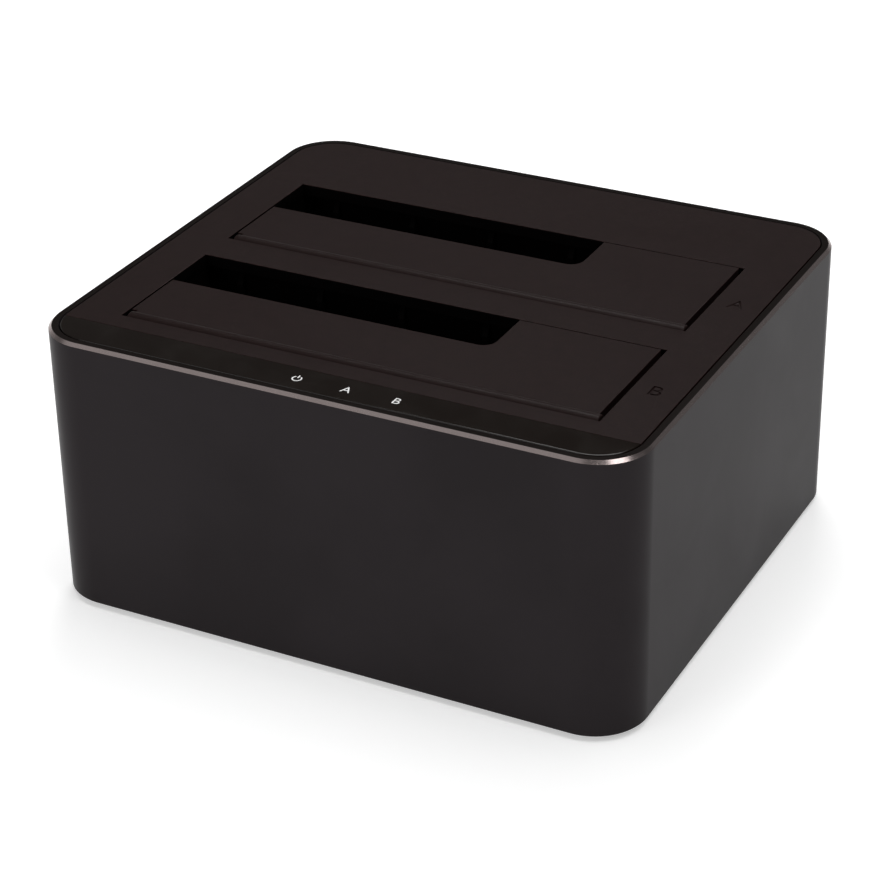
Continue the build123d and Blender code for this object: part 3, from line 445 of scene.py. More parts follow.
# %% The finishes that the two functions make
seen_from_above = {"dust": 0.03, "level": 0.06}
panel_values = ((0.0122, 0.0064, 0.0060), 0.41, 0.16, 0.004, seen_from_above)
plastics = {  # colour, roughness, the grain's width and depth in mm, and what else differs
    "panel": panel_values,
    "flap": panel_values,
    # The well finish is far darker than black plastic: painted shade for the inside of the bays.
    "well": ((0.0016, 0.0012, 0.0012), 0.8, 0.25, 0.008, {"level": 0.03}),
    "base": ((0.011, 0.010, 0.010), 0.6, 0.3, 0.012, {}),
    "plate": ((0.009, 0.0085, 0.0085), 0.5, 0.2, 0.008, {}),
    "socket": ((0.008, 0.008, 0.009), 0.5, 0.1, 0.002, {}),
    "insulator": ((0.010, 0.010, 0.012), 0.45, 0.1, 0.002, {}),
    "jack": ((0.009, 0.009, 0.009), 0.4, 0.15, 0.003, {}),
    "switch": ((0.009, 0.009, 0.009), 0.28, 0.3, 0.002, {}),
    "rocker": ((0.011, 0.011, 0.011), 0.36, 0.2, 0.004, {}),
    "chip": ((0.012, 0.012, 0.013), 0.55, 0.08, 0.004, {}),
    "ferrite": ((0.055, 0.050, 0.048), 0.7, 0.12, 0.012, {"edge": 1.5}),
    "foot": ((0.016, 0.016, 0.016), 0.85, 0.2, 0.02, {"edge": 1.4}),
    "mark": ((0.80, 0.80, 0.80), 0.5, 0.08, 0.001, {"edge": 1.0}),
    "lamp": ((0.80, 0.77, 0.62), 0.3, 0.1, 0.002, {"edge": 1.0, "level": 0.5}),
}
metals = {  # colour, roughness, streaks to a metre along each axis, depth in mm, and tarnish
    "steel": ((0.55, 0.55, 0.56), 0.24, (900, 9000, 9000), 0.001, 0.75),
    "screw": ((0.09, 0.09, 0.095), 0.34, (2500, 2500, 9000), 0.002, 0.75),
    "shell": ((0.70, 0.70, 0.71), 0.2, (6000, 700, 6000), 0.001, 0.75),
    "contact": ((0.83, 0.60, 0.24), 0.22, (5000, 5000, 900), 0.0008, 0.75),
    "can": ((0.60, 0.60, 0.60), 0.3, (700, 6000, 6000), 0.0015, 0.75),
    "capacitor": ((0.72, 0.72, 0.72), 0.26, (3000, 3000, 8000), 0.001, 0.75),
    "tin": ((0.66, 0.66, 0.67), 0.38, (5000, 5000, 5000), 0.002, 0.75),
    "rim": ((0.44, 0.37, 0.36), 0.2, (2500, 2500, 9000), 0.0006, 0.85),
}
paint = {}
for name, (colour, rough, grain, depth, others) in plastics.items():
    paint[name] = moulded(name + "_paint", colour, rough, grain * mm, depth * mm, **others)
for name, (colour, rough, stretch, depth, tarnish) in metals.items():
    paint[name] = metal(name + "_paint", colour, rough, stretch, depth * mm, tarnish)
print("finishes:", sorted(paint))

# %% [markdown]
# The sleeve is aluminium, blasted and then anodised satin black. The dye makes it nearly black
# where it is seen straight on, and its clear oxide skin picks up a sheen at a glancing angle,
# which is why its right side looks grey. After dyeing, the rim's outer corner is cut once more,
# so bare metal shows there as a bright line. The flat top of the wall inside that line is given
# a much darker copy of the sleeve's finish, as painted shade.

# %% Anodised metal
sleeve_smudge = 26 * mm
wear_and_highlight_share = 1.7
blasted_grain = 0.14 * mm
blasted_depth = 0.0012 * mm


def anodised(name, dark, light):
    """Blasted and anodised aluminium, with a colour that wanders from dark to light."""
    material, tree, shader = new_material(name)
    place = coordinates(tree)
    blasted = use_effect(tree, "blasted_metal", place, Grain=1 / blasted_grain)
    smudge = use_effect(tree, "handling", place, Patches=1 / sleeve_smudge)["Smudge"]
    wear_and_highlight = use_effect(tree, "rubbed_edges", place)["Rubbed"]
    base = mix_colours(tree, blasted["Cloud"], dark, light)
    # Edges are lighter, partly as wear and partly as a painted highlight.
    base = mix_colours(tree, wear_and_highlight, base, shaded(light, wear_and_highlight_share))
    gloss = remap(tree, smudge, 0.0, 1.0, 0.345, 0.30)
    relief = bump(tree, blasted["Height"], blasted_depth)
    fill(tree, shader, Base_Color=base, Roughness=gloss, Specular_IOR_Level=0.03, Normal=relief)
    return material


dye_and_painted_shade = {  # the dark and the light end of each colour
    "sleeve": ((0.0305, 0.0262, 0.0277), (0.0355, 0.0305, 0.0325)),
    # The wall's flat top is the sleeve's metal painted far darker, as painted shade.
    "wall_top": ((0.0060, 0.0042, 0.0036), (0.0072, 0.0050, 0.0044)),
}
for name, (dark, light) in dye_and_painted_shade.items():
    paint[name] = anodised(name + "_paint", dark, light)
print("dyed finishes:", list(dye_and_painted_shade))

# %% [markdown]
# The strip is a gloss black moulding. It stays darker than the matte panel behind it, because a
# smooth face sends light one way only. The light pipe under it is clear, the lamps are milky, and
# the board is glass cloth under a green lacquer with copper lines below.

# %% Gloss strip and clear plastic
strip_smudge = 9 * mm
strip_dark, strip_light = (0.0042, 0.0017, 0.0005), (0.0050, 0.0023, 0.0009)
paint["strip"], tree, shader = new_material("strip_paint")
smudge = use_effect(tree, "handling", coordinates(tree), Patches=1 / strip_smudge)["Smudge"]
fill(tree, shader, Base_Color=mix_colours(tree, smudge, strip_dark, strip_light))
fill(tree, shader, Roughness=remap(tree, smudge, 0.0, 1.0, 0.10, 0.17), Specular_IOR_Level=0.32)

clear_grain, clear_relief = 1.5 * mm, 0.01 * mm
paint["clear"], tree, shader = new_material("clear_paint")
flow = use_effect(tree, "moulded_grain", coordinates(tree), Grain=1 / clear_grain)
fill(tree, shader, Base_Color=(0.95, 0.95, 0.95), Transmission_Weight=1.0, IOR=1.49)
fill(tree, shader, Roughness=remap(tree, flow["Mottle"], 0.0, 1.0, 0.05, 0.16))
fill(tree, shader, Normal=bump(tree, flow["Height"], clear_relief))

# %% Circuit board
track_pitch = 7 * mm
cloth_pitch = 1.1 * mm
hole_pitch = 4.2 * mm
track_height = 0.02 * mm
cloth_dark, cloth_light = (0.008, 0.034, 0.016), (0.011, 0.042, 0.020)
track_colour, hole_colour = (0.020, 0.085, 0.036), (0.50, 0.42, 0.22)
paint["board"], tree, shader = new_material("board_paint")
place = coordinates(tree)
bricks = add_node(tree, "ShaderNodeTexBrick", offset=0.35, squash=0.6, squash_frequency=3)
fill(tree, bricks, Vector=place, Scale=1 / track_pitch, Mortar_Size=0.028, Mortar_Smooth=0.0)
tracks = bricks.outputs["Fac"]
cloth = add_node(tree, "ShaderNodeTexWave", Vector=place, Scale=1 / cloth_pitch, Distortion=0.4)
dots = add_node(tree, "ShaderNodeTexVoronoi", Scale=1 / hole_pitch, Randomness=0.75)
fill(tree, dots, Vector=place)
holes = remap(tree, dots.outputs["Distance"], 0.10, 0.085)
woven = mix_colours(tree, cloth.outputs["Fac"], cloth_dark, cloth_light)
traced = mix_colours(tree, tracks, woven, track_colour)
fill(tree, shader, Base_Color=mix_colours(tree, holes, traced, hole_colour))
fill(tree, shader, Roughness=remap(tree, holes, 0.0, 1.0, 0.24, 0.4))
fill(tree, shader, Normal=bump(tree, calculate(tree, "ADD", tracks, holes), track_height))
print("finishes:", len(bpy.data.materials))

# %% [markdown]
# The engineering model has plain, sharp edges. On a real moulding each edge has a small radius,
# and it is these that catch the light. Sizes could be typed in again to build each shape anew,
# but then they might drift from the frame. So most visible parts start from a copy of the
# frame's own shape. The copy is merged, its flat faces are made whole, and its edges are
# rounded. The helpers below do that, and hang each finished piece on its body.

# %% Helpers for shapes
crease_angle = math.radians(32)
flat_angle = math.radians(0.3)
merge_gap = 0.001 * mm
touch = 0.01 * mm


def as_piece(work, name, outward=False):
    """Turns worked geometry into an object, with its faces turned outward if asked."""
    if outward:
        bmesh.ops.recalc_face_normals(work, faces=work.faces)
    mesh = bpy.data.meshes.new(name)
    work.to_mesh(mesh)
    work.free()
    return shown(name, mesh)


def merge(work, gap=merge_gap):
    """Joins points that lie on each other."""
    bmesh.ops.remove_doubles(work, verts=work.verts, dist=gap)


def copy_of(node):
    """A node's shape, merged and with its flat faces whole."""
    work = bmesh.new()
    work.from_mesh(nodes[node].data)
    merge(work, 2 * merge_gap)
    every = {"verts": work.verts, "edges": work.edges}
    bmesh.ops.dissolve_limit(work, angle_limit=flat_angle, **every)
    return work


def anywhere(place):
    """Accepts every edge."""
    return True


def soften(work, width, accept=anywhere, steps=2):
    """Rounds the outer edges whose middle is accepted, and marks their new faces for wear and a painted
    highlight.
    """
    edge_layer = work.faces.layers.float.get("worn_edge") or work.faces.layers.float.new("worn_edge")
    picked = [
        edge
        for edge in work.edges
        if len(edge.link_faces) == 2
        and edge.calc_face_angle_signed() > crease_angle
        and accept((edge.verts[0].co + edge.verts[1].co) / 2)
    ]
    form = {"offset_type": "OFFSET", "profile": 0.5, "affect": "EDGES", "clamp_overlap": False}
    made = bmesh.ops.bevel(work, geom=picked, offset=width, segments=steps, **form)
    for face in made["faces"]:
        face[edge_layer] = 1.0
    return len(picked)


def rounded_copy(node, name, width, accept=anywhere, steps=2):
    """A copy of a node as a piece, with its accepted edges rounded."""
    work = copy_of(node)
    soften(work, width, accept, steps)
    return as_piece(work, name)


def draw_out(work, faces, offset):
    """Draws flat faces out into solids."""
    drawn = bmesh.ops.extrude_face_region(work, geom=faces)
    moved = [v for v in drawn["geom"] if isinstance(v, bmesh.types.BMVert)]
    bmesh.ops.translate(work, verts=moved, vec=offset)
    bmesh.ops.recalc_face_normals(work, faces=work.faces)


def worked_mesh(piece):
    """A mesh of what a piece looks like with its modifiers."""
    ready = piece.evaluated_get(bpy.context.evaluated_depsgraph_get())
    return bpy.data.meshes.new_from_object(ready)


def settled(piece):
    """The piece with its modifiers applied to its mesh."""
    mesh = worked_mesh(piece)
    piece.modifiers.clear()
    piece.data = mesh
    mesh.name = piece.name
    return piece


def complete(piece, body, paints=(), stands_for=()):
    """Smooths a piece, gives it its finishes by name and hangs it on its body."""
    piece.data.shade_smooth()
    piece.data.set_sharp_from_angle(angle=crease_angle)
    weigh = piece.modifiers.new("weigh", "WEIGHTED_NORMAL")
    weigh.keep_sharp = True
    settled(piece)
    materials = piece.data.materials
    for index, name in enumerate(paints):
        if index < len(materials):
            materials[index] = paint[name]
        else:
            materials.append(paint[name])
    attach(piece, body)
    if stands_for:
        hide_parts(*stands_for)
    print(piece.name, "has", len(piece.data.polygons), "faces")


def combine(piece, other, operation="DIFFERENCE"):
    """Takes the other shape out of a piece, or joins it on, and removes the other."""
    modifier = piece.modifiers.new("combine", "BOOLEAN")
    modifier.operation = operation
    modifier.solver = "EXACT"
    modifier.object = other
    settled(piece)
    bpy.data.objects.remove(other)


def arc(middle, radius, first, last, steps):
    """Points along an arc, from the first angle to the last, in degrees."""
    angles = [math.radians(first + (last - first) * i / steps) for i in range(steps + 1)]
    return [(middle[0] + radius * math.cos(a), middle[1] + radius * math.sin(a)) for a in angles]


# %% [markdown]
# Parts that repeat, and parts that follow a rule, are made with Geometry Nodes: a small graph
# takes sizes by name and returns geometry. The helpers below build such a graph, run it once on
# a start mesh, and keep the result as a plain mesh, so that nothing stays live in the scene.


# %% Helpers for Geometry Nodes
def new_rule(name, **inputs):
    """A graph with geometry in and out, these inputs and a finish. A word names a kind."""
    tree = bpy.data.node_groups.new(name, "GeometryNodeTree")
    tree.interface.new_socket("Geometry", in_out="INPUT", socket_type="NodeSocketGeometry")
    for label, value in {**inputs, "Finish": "Material"}.items():
        kind = value if isinstance(value, str) else {int: "Int", float: "Float"}[type(value)]
        socket = tree.interface.new_socket(
            label.replace("_", " "), in_out="INPUT", socket_type="NodeSocket" + kind
        )
        if not isinstance(value, str):
            socket.default_value = value
    tree.interface.new_socket("Geometry", in_out="OUTPUT", socket_type="NodeSocketGeometry")
    return tree, add_node(tree, "NodeGroupInput").outputs


def end_rule(tree, geometry, finish):
    """Realizes a rule's geometry, gives it its finish and sends it out."""
    whole = output_of(tree, "GeometryNodeRealizeInstances", Geometry=geometry)
    painted = output_of(tree, "GeometryNodeSetMaterial", Geometry=whole, Material=finish)
    add_node(tree, "NodeGroupOutput", Geometry=painted)
    print("rule", tree.name, "has", len(tree.nodes), "nodes")


def vector_of(tree, **parts):
    """A vector from its X, Y and Z. A part that isn't given is 0."""
    return output_of(tree, "ShaderNodeCombineXYZ", **parts)


def own_place(tree):
    """The place of each point of a shape, as X, Y and Z."""
    place = output_of(tree, "GeometryNodeInputPosition")
    return add_node(tree, "ShaderNodeSeparateXYZ", Vector=place).outputs


def stand_on_points(tree, points, item, **flip):
    """A copy of the item on each point, turned as the point says, and flipped about X."""
    turn = output_of(tree, "GeometryNodeInputNamedAttribute", data_type="FLOAT", Name="turn")
    rotation = vector_of(tree, Z=turn, **flip)
    place = {"Points": points, "Instance": item, "Rotation": rotation}
    return output_of(tree, "GeometryNodeInstanceOnPoints", **place)


def grow(name, rule, start=None, **values):
    """Runs a rule once on a start mesh, and keeps what it makes."""
    piece = shown(name, start or bpy.data.meshes.new("start"))
    modifier = piece.modifiers.new("rule", "NODES")
    modifier.node_group = bpy.data.node_groups[rule]
    for item in modifier.node_group.interface.items_tree:
        if item.in_out == "INPUT" and item.name.replace(" ", "_") in values:
            modifier[item.identifier] = values[item.name.replace(" ", "_")]
    return settled(piece)


def points_mesh(places, turns=None):
    """A start mesh that is only points, each with its turn about the vertical."""
    mesh = bpy.data.meshes.new("places")
    mesh.from_pydata([tuple(p) for p in places], [], [])
    turned_by = mesh.attributes.new("turn", "FLOAT", "POINT")
    turned_by.data.foreach_set("value", turns or [0.0] * len(places))
    return mesh


def solids_of(node):
    """The lowest and highest corner of each separate solid in a node, from left to right."""
    work = copy_of(node)
    waiting, found = set(work.verts), []
    while waiting:
        group = [waiting.pop()]
        for vert in group:
            for edge in vert.link_edges:
                other = edge.other_vert(vert)
                if other in waiting:
                    waiting.remove(other)
                    group.append(other)
        low = Vector(min(v.co[i] for v in group) for i in range(3))
        high = Vector(max(v.co[i] for v in group) for i in range(3))
        found.append((low, high))
    work.free()
    return sorted(found, key=lambda box: tuple(box[0]))


# %% [markdown]
# The sleeve is extruded: one wall, the same all the way round, with a rebate at each end. That
# is a rule, so it is a sweep. The wall's outline, with its cut rim, runs along a rectangle with
# round corners. The port window is cut afterwards with a boolean, because it breaks the rule.

# %% The wall's outline
sleeve_low, sleeve_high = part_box("outer_sleeve")
rim_top = sleeve_high.z
rim_wall = 2.05 * mm
ledge_width = 0.9 * mm
corner_radius = 11.3 * mm
rim_chamfer = 0.65 * mm
inner_edge = 0.08 * mm
base_edge = 0.3 * mm
panel_thickness = 2.5 * mm
base_ledge = 3.6 * mm

wall_outline = [
    (0, rim_top - rim_chamfer),
    (0, sleeve_low.z + base_edge),
    (-base_edge, sleeve_low.z),
    (-rim_wall, sleeve_low.z),
    (-rim_wall, base_ledge),
    (-rim_wall - ledge_width, base_ledge),
    (-rim_wall - ledge_width, rim_top - panel_thickness),
    (-rim_wall, rim_top - panel_thickness),
    (-rim_wall, rim_top - inner_edge),
    (-rim_wall + inner_edge, rim_top),
    (-rim_chamfer, rim_top),
]
outline_curve = bpy.data.curves.new("wall_outline", "CURVE")
outline_spline = outline_curve.splines.new("POLY")
outline_spline.points.add(len(wall_outline) - 1)
for point, (out, z) in zip(outline_spline.points, wall_outline):
    point.co = (out, -z, 0, 1)
outline_spline.use_cyclic_u = True
outline_object = shown("wall_outline", outline_curve)
print("wall outline:", len(wall_outline), "points")

# %% The rule for a swept sleeve
tree, inlet = new_rule(
    "swept_sleeve", Outline="Object", Width=0.1, Depth=0.1, Corner_radius=0.01, Corner_steps=24
)
rectangle = {"mode": "RECTANGLE", "Width": inlet["Width"], "Height": inlet["Depth"]}
loop = output_of(tree, "GeometryNodeCurvePrimitiveQuadrilateral", **rectangle)
corners = {"Radius": inlet["Corner radius"], "Count": inlet["Corner steps"]}
rounded = output_of(tree, "GeometryNodeFilletCurve", mode="POLY", Curve=loop, **corners)
outline = add_node(tree, "GeometryNodeObjectInfo", Object=inlet["Outline"]).outputs["Geometry"]
swept = output_of(tree, "GeometryNodeCurveToMesh", Curve=rounded, Profile_Curve=outline)
end_rule(tree, swept, inlet["Finish"])


# %% The sleeve and its window
def rounded_slab(name, width, height, radius, middle, y0, y1, steps=10):
    """An upright rounded rectangle, drawn out from y0 to y1."""
    corners = []
    for cx, cz, first in ((1, 1, 0), (-1, 1, 90), (-1, -1, 180), (1, -1, 270)):
        x = middle[0] + cx * (width / 2 - radius)
        z = middle[1] + cz * (height / 2 - radius)
        corners += arc((x, z), radius, first, first + 90, steps)
    work = bmesh.new()
    face = work.faces.new([work.verts.new((x, y0, z)) for x, z in corners])
    draw_out(work, [face], (0, y1 - y0, 0))
    return as_piece(work, name)


window_width = 66 * mm
window_height = 17.4 * mm
window_radius = 2.5 * mm
window_z = 16.95 * mm
window_margin = 1 * mm
window_reach = 4 * mm
window_edge = 0.25 * mm
rim_slope, flat_slope = 0.3, 0.95
sleeve_size = sleeve_high - sleeve_low

sleeve = grow(
    "sleeve_swept",
    "swept_sleeve",
    Outline=outline_object,
    Width=sleeve_size.x,
    Depth=sleeve_size.y,
    Corner_radius=corner_radius,
    Corner_steps=26,
    Finish=paint["sleeve"],
)
bpy.data.objects.remove(outline_object)
window_size = (window_width, window_height, window_radius, (0, window_z))
span = (sleeve_high.y - window_reach, sleeve_high.y + window_margin)
combine(sleeve, rounded_slab("window", *window_size, *span))
work = bmesh.new()
work.from_mesh(sleeve.data)
soften(
    work,
    window_edge,
    lambda p: p.y > sleeve_high.y - touch
    and abs(p.x) < window_width / 2 + window_margin
    and abs(p.z - window_z) < window_height / 2 + window_margin,
)
# The cut rim takes bare metal, and the flat top of the wall takes its painted shade.
for face in work.faces:
    middle = face.calc_center_median()
    if middle.z > rim_top - rim_chamfer and face.normal.z > rim_slope:
        faces_out = face.normal.x * middle.x + face.normal.y * middle.y > 0
        face.material_index = 1 if face.normal.z < flat_slope and faces_out else 2
bpy.data.objects.remove(sleeve)
sleeve = as_piece(work, "sleeve_swept")
complete(sleeve, "dock", ["sleeve", "rim", "wall_top"], ["outer_sleeve"])
edge_faces = sum(1 for face in sleeve.data.polygons if face.material_index == 1)
print("faces of the cut rim:", edge_faces)

# %% [markdown]
# The top panel is one moulding. Its letters A and B, one beside each bay, are sunk into it. They
# could be painted by a shader, but a sunk letter shows by the shadow in its strokes, so they are
# real geometry: two letters of Blender's own font, made solid and cut out with a boolean. The
# panel's top takes the panel finish, and the walls of its openings take the near-black well
# finish, which is painted shade.


# %% Letters with an exact height
def letter(text, height, centre, z0, z1):
    """A letter as a solid from z0 to z1, with its outline's exact height and centre."""
    curve = bpy.data.curves.new("letter_" + text, "FONT")
    curve.body = text
    curve.extrude = 0.5
    curve.resolution_u = 6
    piece = shown("letter_" + text, curve)
    mesh = worked_mesh(piece)
    bpy.data.objects.remove(piece)
    low = [min(v.co[i] for v in mesh.vertices) for i in range(3)]
    high = [max(v.co[i] for v in mesh.vertices) for i in range(3)]
    scale = height / (high[1] - low[1])
    for vert in mesh.vertices:
        vert.co = (
            centre[0] + (vert.co.x - (low[0] + high[0]) / 2) * scale,
            centre[1] + (vert.co.y - (low[1] + high[1]) / 2) * scale,
            z0 + (vert.co.z + curve.extrude) * (z1 - z0),
        )
    work = bmesh.new()
    work.from_mesh(mesh)
    merge(work)
    return as_piece(work, "letter_" + text, outward=True)


# %% The top panel
panel_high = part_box("top_panel")[1]
panel_top = panel_high.z
axis_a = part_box("hinge_pins_a")
axis_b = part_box("hinge_pins_b")
hinge_a = (axis_a[0] + axis_a[1]) / 2
hinge_b = (axis_b[0] + axis_b[1]) / 2
edge_round = 0.12 * mm
panel_margin = 2 * mm
wall_slope = 0.5
bay_letter_height = 3.6 * mm
bay_letter_depth = 0.3 * mm
bay_letter_x = 57.15 * mm
bay_letter_rise = 13.95 * mm

work = copy_of("top_panel")
rounded_edges = soften(work, edge_round, lambda p: p.z > panel_top - touch)
edge_layer = work.faces.layers.float["worn_edge"]
reach_x, reach_y = panel_high.x - panel_margin, panel_high.y - panel_margin
# The walls of the bay openings take the second finish, the wells' painted shade.
for face in work.faces:
    middle = face.calc_center_median()
    inside = abs(middle.x) < reach_x and abs(middle.y) < reach_y
    if inside and abs(face.normal.z) < wall_slope and not face[edge_layer]:
        face.material_index = 1
panel = as_piece(work, "panel_moulding")
span = (panel_top - bay_letter_depth, panel_top + bay_letter_depth)
for text, hinge in (("A", hinge_a), ("B", hinge_b)):
    centre = (bay_letter_x, hinge.y + bay_letter_rise)
    combine(panel, letter(text, bay_letter_height, centre, *span))
complete(panel, "dock", ["panel", "well"], ["top_panel"])
print("rounded edges on the panel:", rounded_edges)

# %% [markdown]
# The gloss strip lies at the front of the panel, and its outer edge has a larger radius, which
# shows as a second bright line beside the rim at the corner. The marks on it are white paint: a
# power mark, and the letters of the two bays. They stand over the three lamps on the board.

# %% The strip
strip_round = 0.28 * mm
strip_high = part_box("indicator_strip")[1]
strip_top = strip_high.z
strip = rounded_copy(
    "indicator_strip",
    "gloss_strip",
    strip_round,
    lambda p: p.z > strip_top - touch and p.y < strip_high.y - touch,
    steps=4,
)
complete(strip, "dock", ["strip"], ["indicator_strip"])


# %% The marks
def arc_band(work, centre, inner, outer, first, last, z, steps=28):
    """A flat band along an arc, from the first angle to the last, in degrees."""
    rows = []
    for i in range(steps + 1):
        angle = math.radians(first + (last - first) * i / steps)
        direction = Vector((math.cos(angle), math.sin(angle), 0))
        rows.append([work.verts.new(Vector((*centre, z)) + direction * r) for r in (inner, outer)])
    for (a, b), (c, d) in zip(rows, rows[1:]):
        work.faces.new((a, b, d, c))


def flat_box(work, x0, x1, y0, y1, z):
    """A flat rectangle."""
    corners = ((x0, y0, z), (x1, y0, z), (x1, y1, z), (x0, y1, z))
    work.faces.new([work.verts.new(p) for p in corners])


paint_film = 0.02 * mm
mark_half_width = 0.14 * mm
power_ring = (0.76 * mm, 1.04 * mm)
power_gap = (125, 415)
power_bar = (0.30 * mm, 1.28 * mm)
mark_height = 2.13 * mm
led_middles = [(low + high) / 2 for low, high in solids_of("indicator_leds")]
mark_y = led_middles[0].y
mark_xs = [led.x for led in led_middles]
film_low, film_high = strip_top - paint_film, strip_top + paint_film

work = bmesh.new()
arc_band(work, (mark_xs[0], mark_y), *power_ring, *power_gap, film_high)
sides = (mark_xs[0] - mark_half_width, mark_xs[0] + mark_half_width)
flat_box(work, *sides, mark_y + power_bar[0], mark_y + power_bar[1], film_high)
draw_out(work, work.faces[:], (0, 0, -2 * paint_film))
power_mark = as_piece(work, "power_mark")
complete(power_mark, "dock", ["mark"])
for text, x in (("A", mark_xs[1]), ("B", mark_xs[2])):
    mark = letter(text, mark_height, (x, mark_y), film_low, film_high)
    mark.name = "bay_mark_" + text.lower()
    complete(mark, "dock", ["mark"])

# %% [markdown]
# Turned parts, such as the hinge pins, the inlet's pin, the feet and the capacitor cans, are
# outlines spun about an axis. Blender has a Screw modifier for that, but a loop that lays ring
# after ring is as short, closes its poles itself and needs nothing applied.


# %% Helpers for turned parts
def turned(work, outline, place, steps=24, axis="Z"):
    """Spins an outline of (radius, along) about an axis through a place."""
    rings = []
    for radius, along in outline:
        ring = []
        for i in range(steps if radius else 1):
            angle = 2 * math.pi * i / steps
            a, b = radius * math.cos(angle), radius * math.sin(angle)
            turn = {"X": (along, a, b), "Y": (b, along, a), "Z": (a, b, along)}[axis]
            ring.append(work.verts.new(Vector(place) + Vector(turn)))
        rings.append(ring)
    for first, second in zip(rings, rings[1:]):
        for i in range(steps):
            j = (i + 1) % steps
            ends = ((first, i), (first, j), (second, j), (second, i))
            corners = [ring[k % len(ring)] for ring, k in ends]
            work.faces.new(list(dict.fromkeys(corners)))


def turned_piece(name, outline, place, steps=24, axis="Z"):
    """One turned part as an object."""
    work = bmesh.new()
    turned(work, outline, place, steps, axis)
    return as_piece(work, name, outward=True)


def rod_outline(radius, length, edge):
    """The outline of a rod with both ends broken."""
    ends = [(radius - edge, 0), (radius, edge), (radius, length - edge), (radius - edge, length)]
    return [(0, 0), *ends, (0, length)]


# %% [markdown]
# Each flap is a moulding too, with its hinge barrel along the front. Its top edges are rounded
# slightly. The barrel runs on at both ends until it nearly meets the panel, and its ends are
# round, so they are turned and joined on. Both flaps are alike, so one function makes both.

# %% The flaps
barrel_radius = 1.79 * mm
barrel_left = -50.55 * mm
barrel_lap = 0.6 * mm
barrel_round = 0.35 * mm
left_reach = 0.7 * mm
right_reach = 0.8 * mm


def flap_piece(letter_name, hinge):
    """A flap with its longer barrel."""
    node = "flap_" + letter_name
    name = "flap_moulding_" + letter_name
    piece = rounded_copy(node, name, edge_round, lambda p: abs(p.z - panel_top) < touch)
    barrel_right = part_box(node)[1].x
    inner = barrel_radius - barrel_round
    bend = [(inner + x, barrel_round - y) for x, y in arc((0, 0), barrel_round, 90, 0, 4)]
    for start, reach in ((barrel_left, -left_reach), (barrel_right, right_reach)):
        length = barrel_lap + abs(reach)
        outline = [(0, 0)] + bend + [(barrel_radius, length), (0, length)]
        if reach > 0:
            outline = [(radius, -along) for radius, along in outline]
        place = (start + reach, hinge.y, hinge.z)
        combine(piece, turned_piece("barrel_end", outline, place, 48, "X"), "UNION")
    complete(piece, node, ["flap"], [node])


flap_piece("a", hinge_a)
flap_piece("b", hinge_b)

# %% [markdown]
# A flap closes by its torsion spring: round wire, with a leg that stands against the well, a
# little over three turns round the hinge line, and a leg that lifts the flap. The wire's middle
# line is a rule of its own, a helix between two legs, so the graph below moves the points of a
# plain line on to it. When the flap turns, the coil twists, so the finished mesh is blended
# between the two bodies along the hinge.

# %% The rule for a torsion spring
tree, inlet = new_rule(
    "torsion_spring",
    Start="Vector",
    Coil_radius=0.001,
    Coil_length=0.003,
    Turns=3.25,
    Steps=80,
    Fixed_leg=0.007,
    Moving_leg=0.005,
    Wire_radius=0.0002,
)
leg_points = 3.0
wire_sides = 10
steps, radius = inlet["Steps"], inlet["Coil radius"]
points = calculate(tree, "ADD", steps, leg_points)
line = output_of(tree, "GeometryNodeMeshLine", Count=points)
index = output_of(tree, "GeometryNodeInputIndex")
in_coil = calculate(tree, "SUBTRACT", index, 1.0)
along = calculate(tree, "DIVIDE", in_coil, steps, use_clamp=True)
angle = product(tree, along, inlet["Turns"], 2 * math.pi)
across = product(tree, calculate(tree, "COSINE", angle), radius, -1.0)
upward = product(tree, calculate(tree, "SINE", angle), radius)
at_first = calculate(tree, "LESS_THAN", index, 0.5)
at_last = calculate(tree, "GREATER_THAN", in_coil, calculate(tree, "ADD", steps, 0.5))
upward = calculate(tree, "SUBTRACT", upward, product(tree, at_first, inlet["Fixed leg"]))
across = calculate(tree, "ADD", across, product(tree, at_last, inlet["Moving leg"]))
placed = vector_of(tree, X=product(tree, along, inlet["Coil length"]), Y=across, Z=upward)
moved = add_node(tree, "ShaderNodeVectorMath", operation="ADD")
put(tree, moved.inputs[0], placed)
put(tree, moved.inputs[1], inlet["Start"])
bent = output_of(tree, "GeometryNodeSetPosition", Geometry=line, Position=moved.outputs[0])
path = output_of(tree, "GeometryNodeMeshToCurve", Mesh=bent)
ring = add_node(tree, "GeometryNodeCurvePrimitiveCircle", Resolution=wire_sides)
fill(tree, ring, Radius=inlet["Wire radius"])
wire = add_node(tree, "GeometryNodeCurveToMesh", Curve=path, Fill_Caps=True)
fill(tree, wire, Profile_Curve=ring.outputs[0])
end_rule(tree, wire.outputs[0], inlet["Finish"])

# %% The springs
wire_radius = 0.175 * mm
coil_radius = 0.775 * mm
fixed_leg, moving_leg = 7.0 * mm, 5.5 * mm
low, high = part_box("flap_spring_a")
coil_left = low.x + wire_radius
coil_length = high.x - low.x - 2 * wire_radius
print("coil from", round(coil_left / mm, 3), "mm, length", round(coil_length / mm, 3), "mm")
for name, hinge in (("a", hinge_a), ("b", hinge_b)):
    spring = grow(
        "wire_spring_" + name,
        "torsion_spring",
        Start=(coil_left, hinge.y, hinge.z),
        Coil_radius=coil_radius,
        Coil_length=coil_length,
        Turns=3.25,
        Steps=104,
        Fixed_leg=fixed_leg,
        Moving_leg=moving_leg,
        Wire_radius=wire_radius,
        Finish=paint["steel"],
    )
    spring.data.shade_smooth()
    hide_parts("flap_spring_" + name)
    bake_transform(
        spring,
        "dock",
        "flap_" + name,
        start=(coil_left, hinge.y, hinge.z),
        end=(coil_left + coil_length, hinge.y, hinge.z),
    )
    print(spring.name, "has", len(spring.data.polygons), "faces")

# %% [markdown]
# The pins at the ends of each barrel and the pin inside the power inlet are turned too. A hinge
# pin has both ends broken. The inlet's pin has a tip that narrows, to lead the plug on.

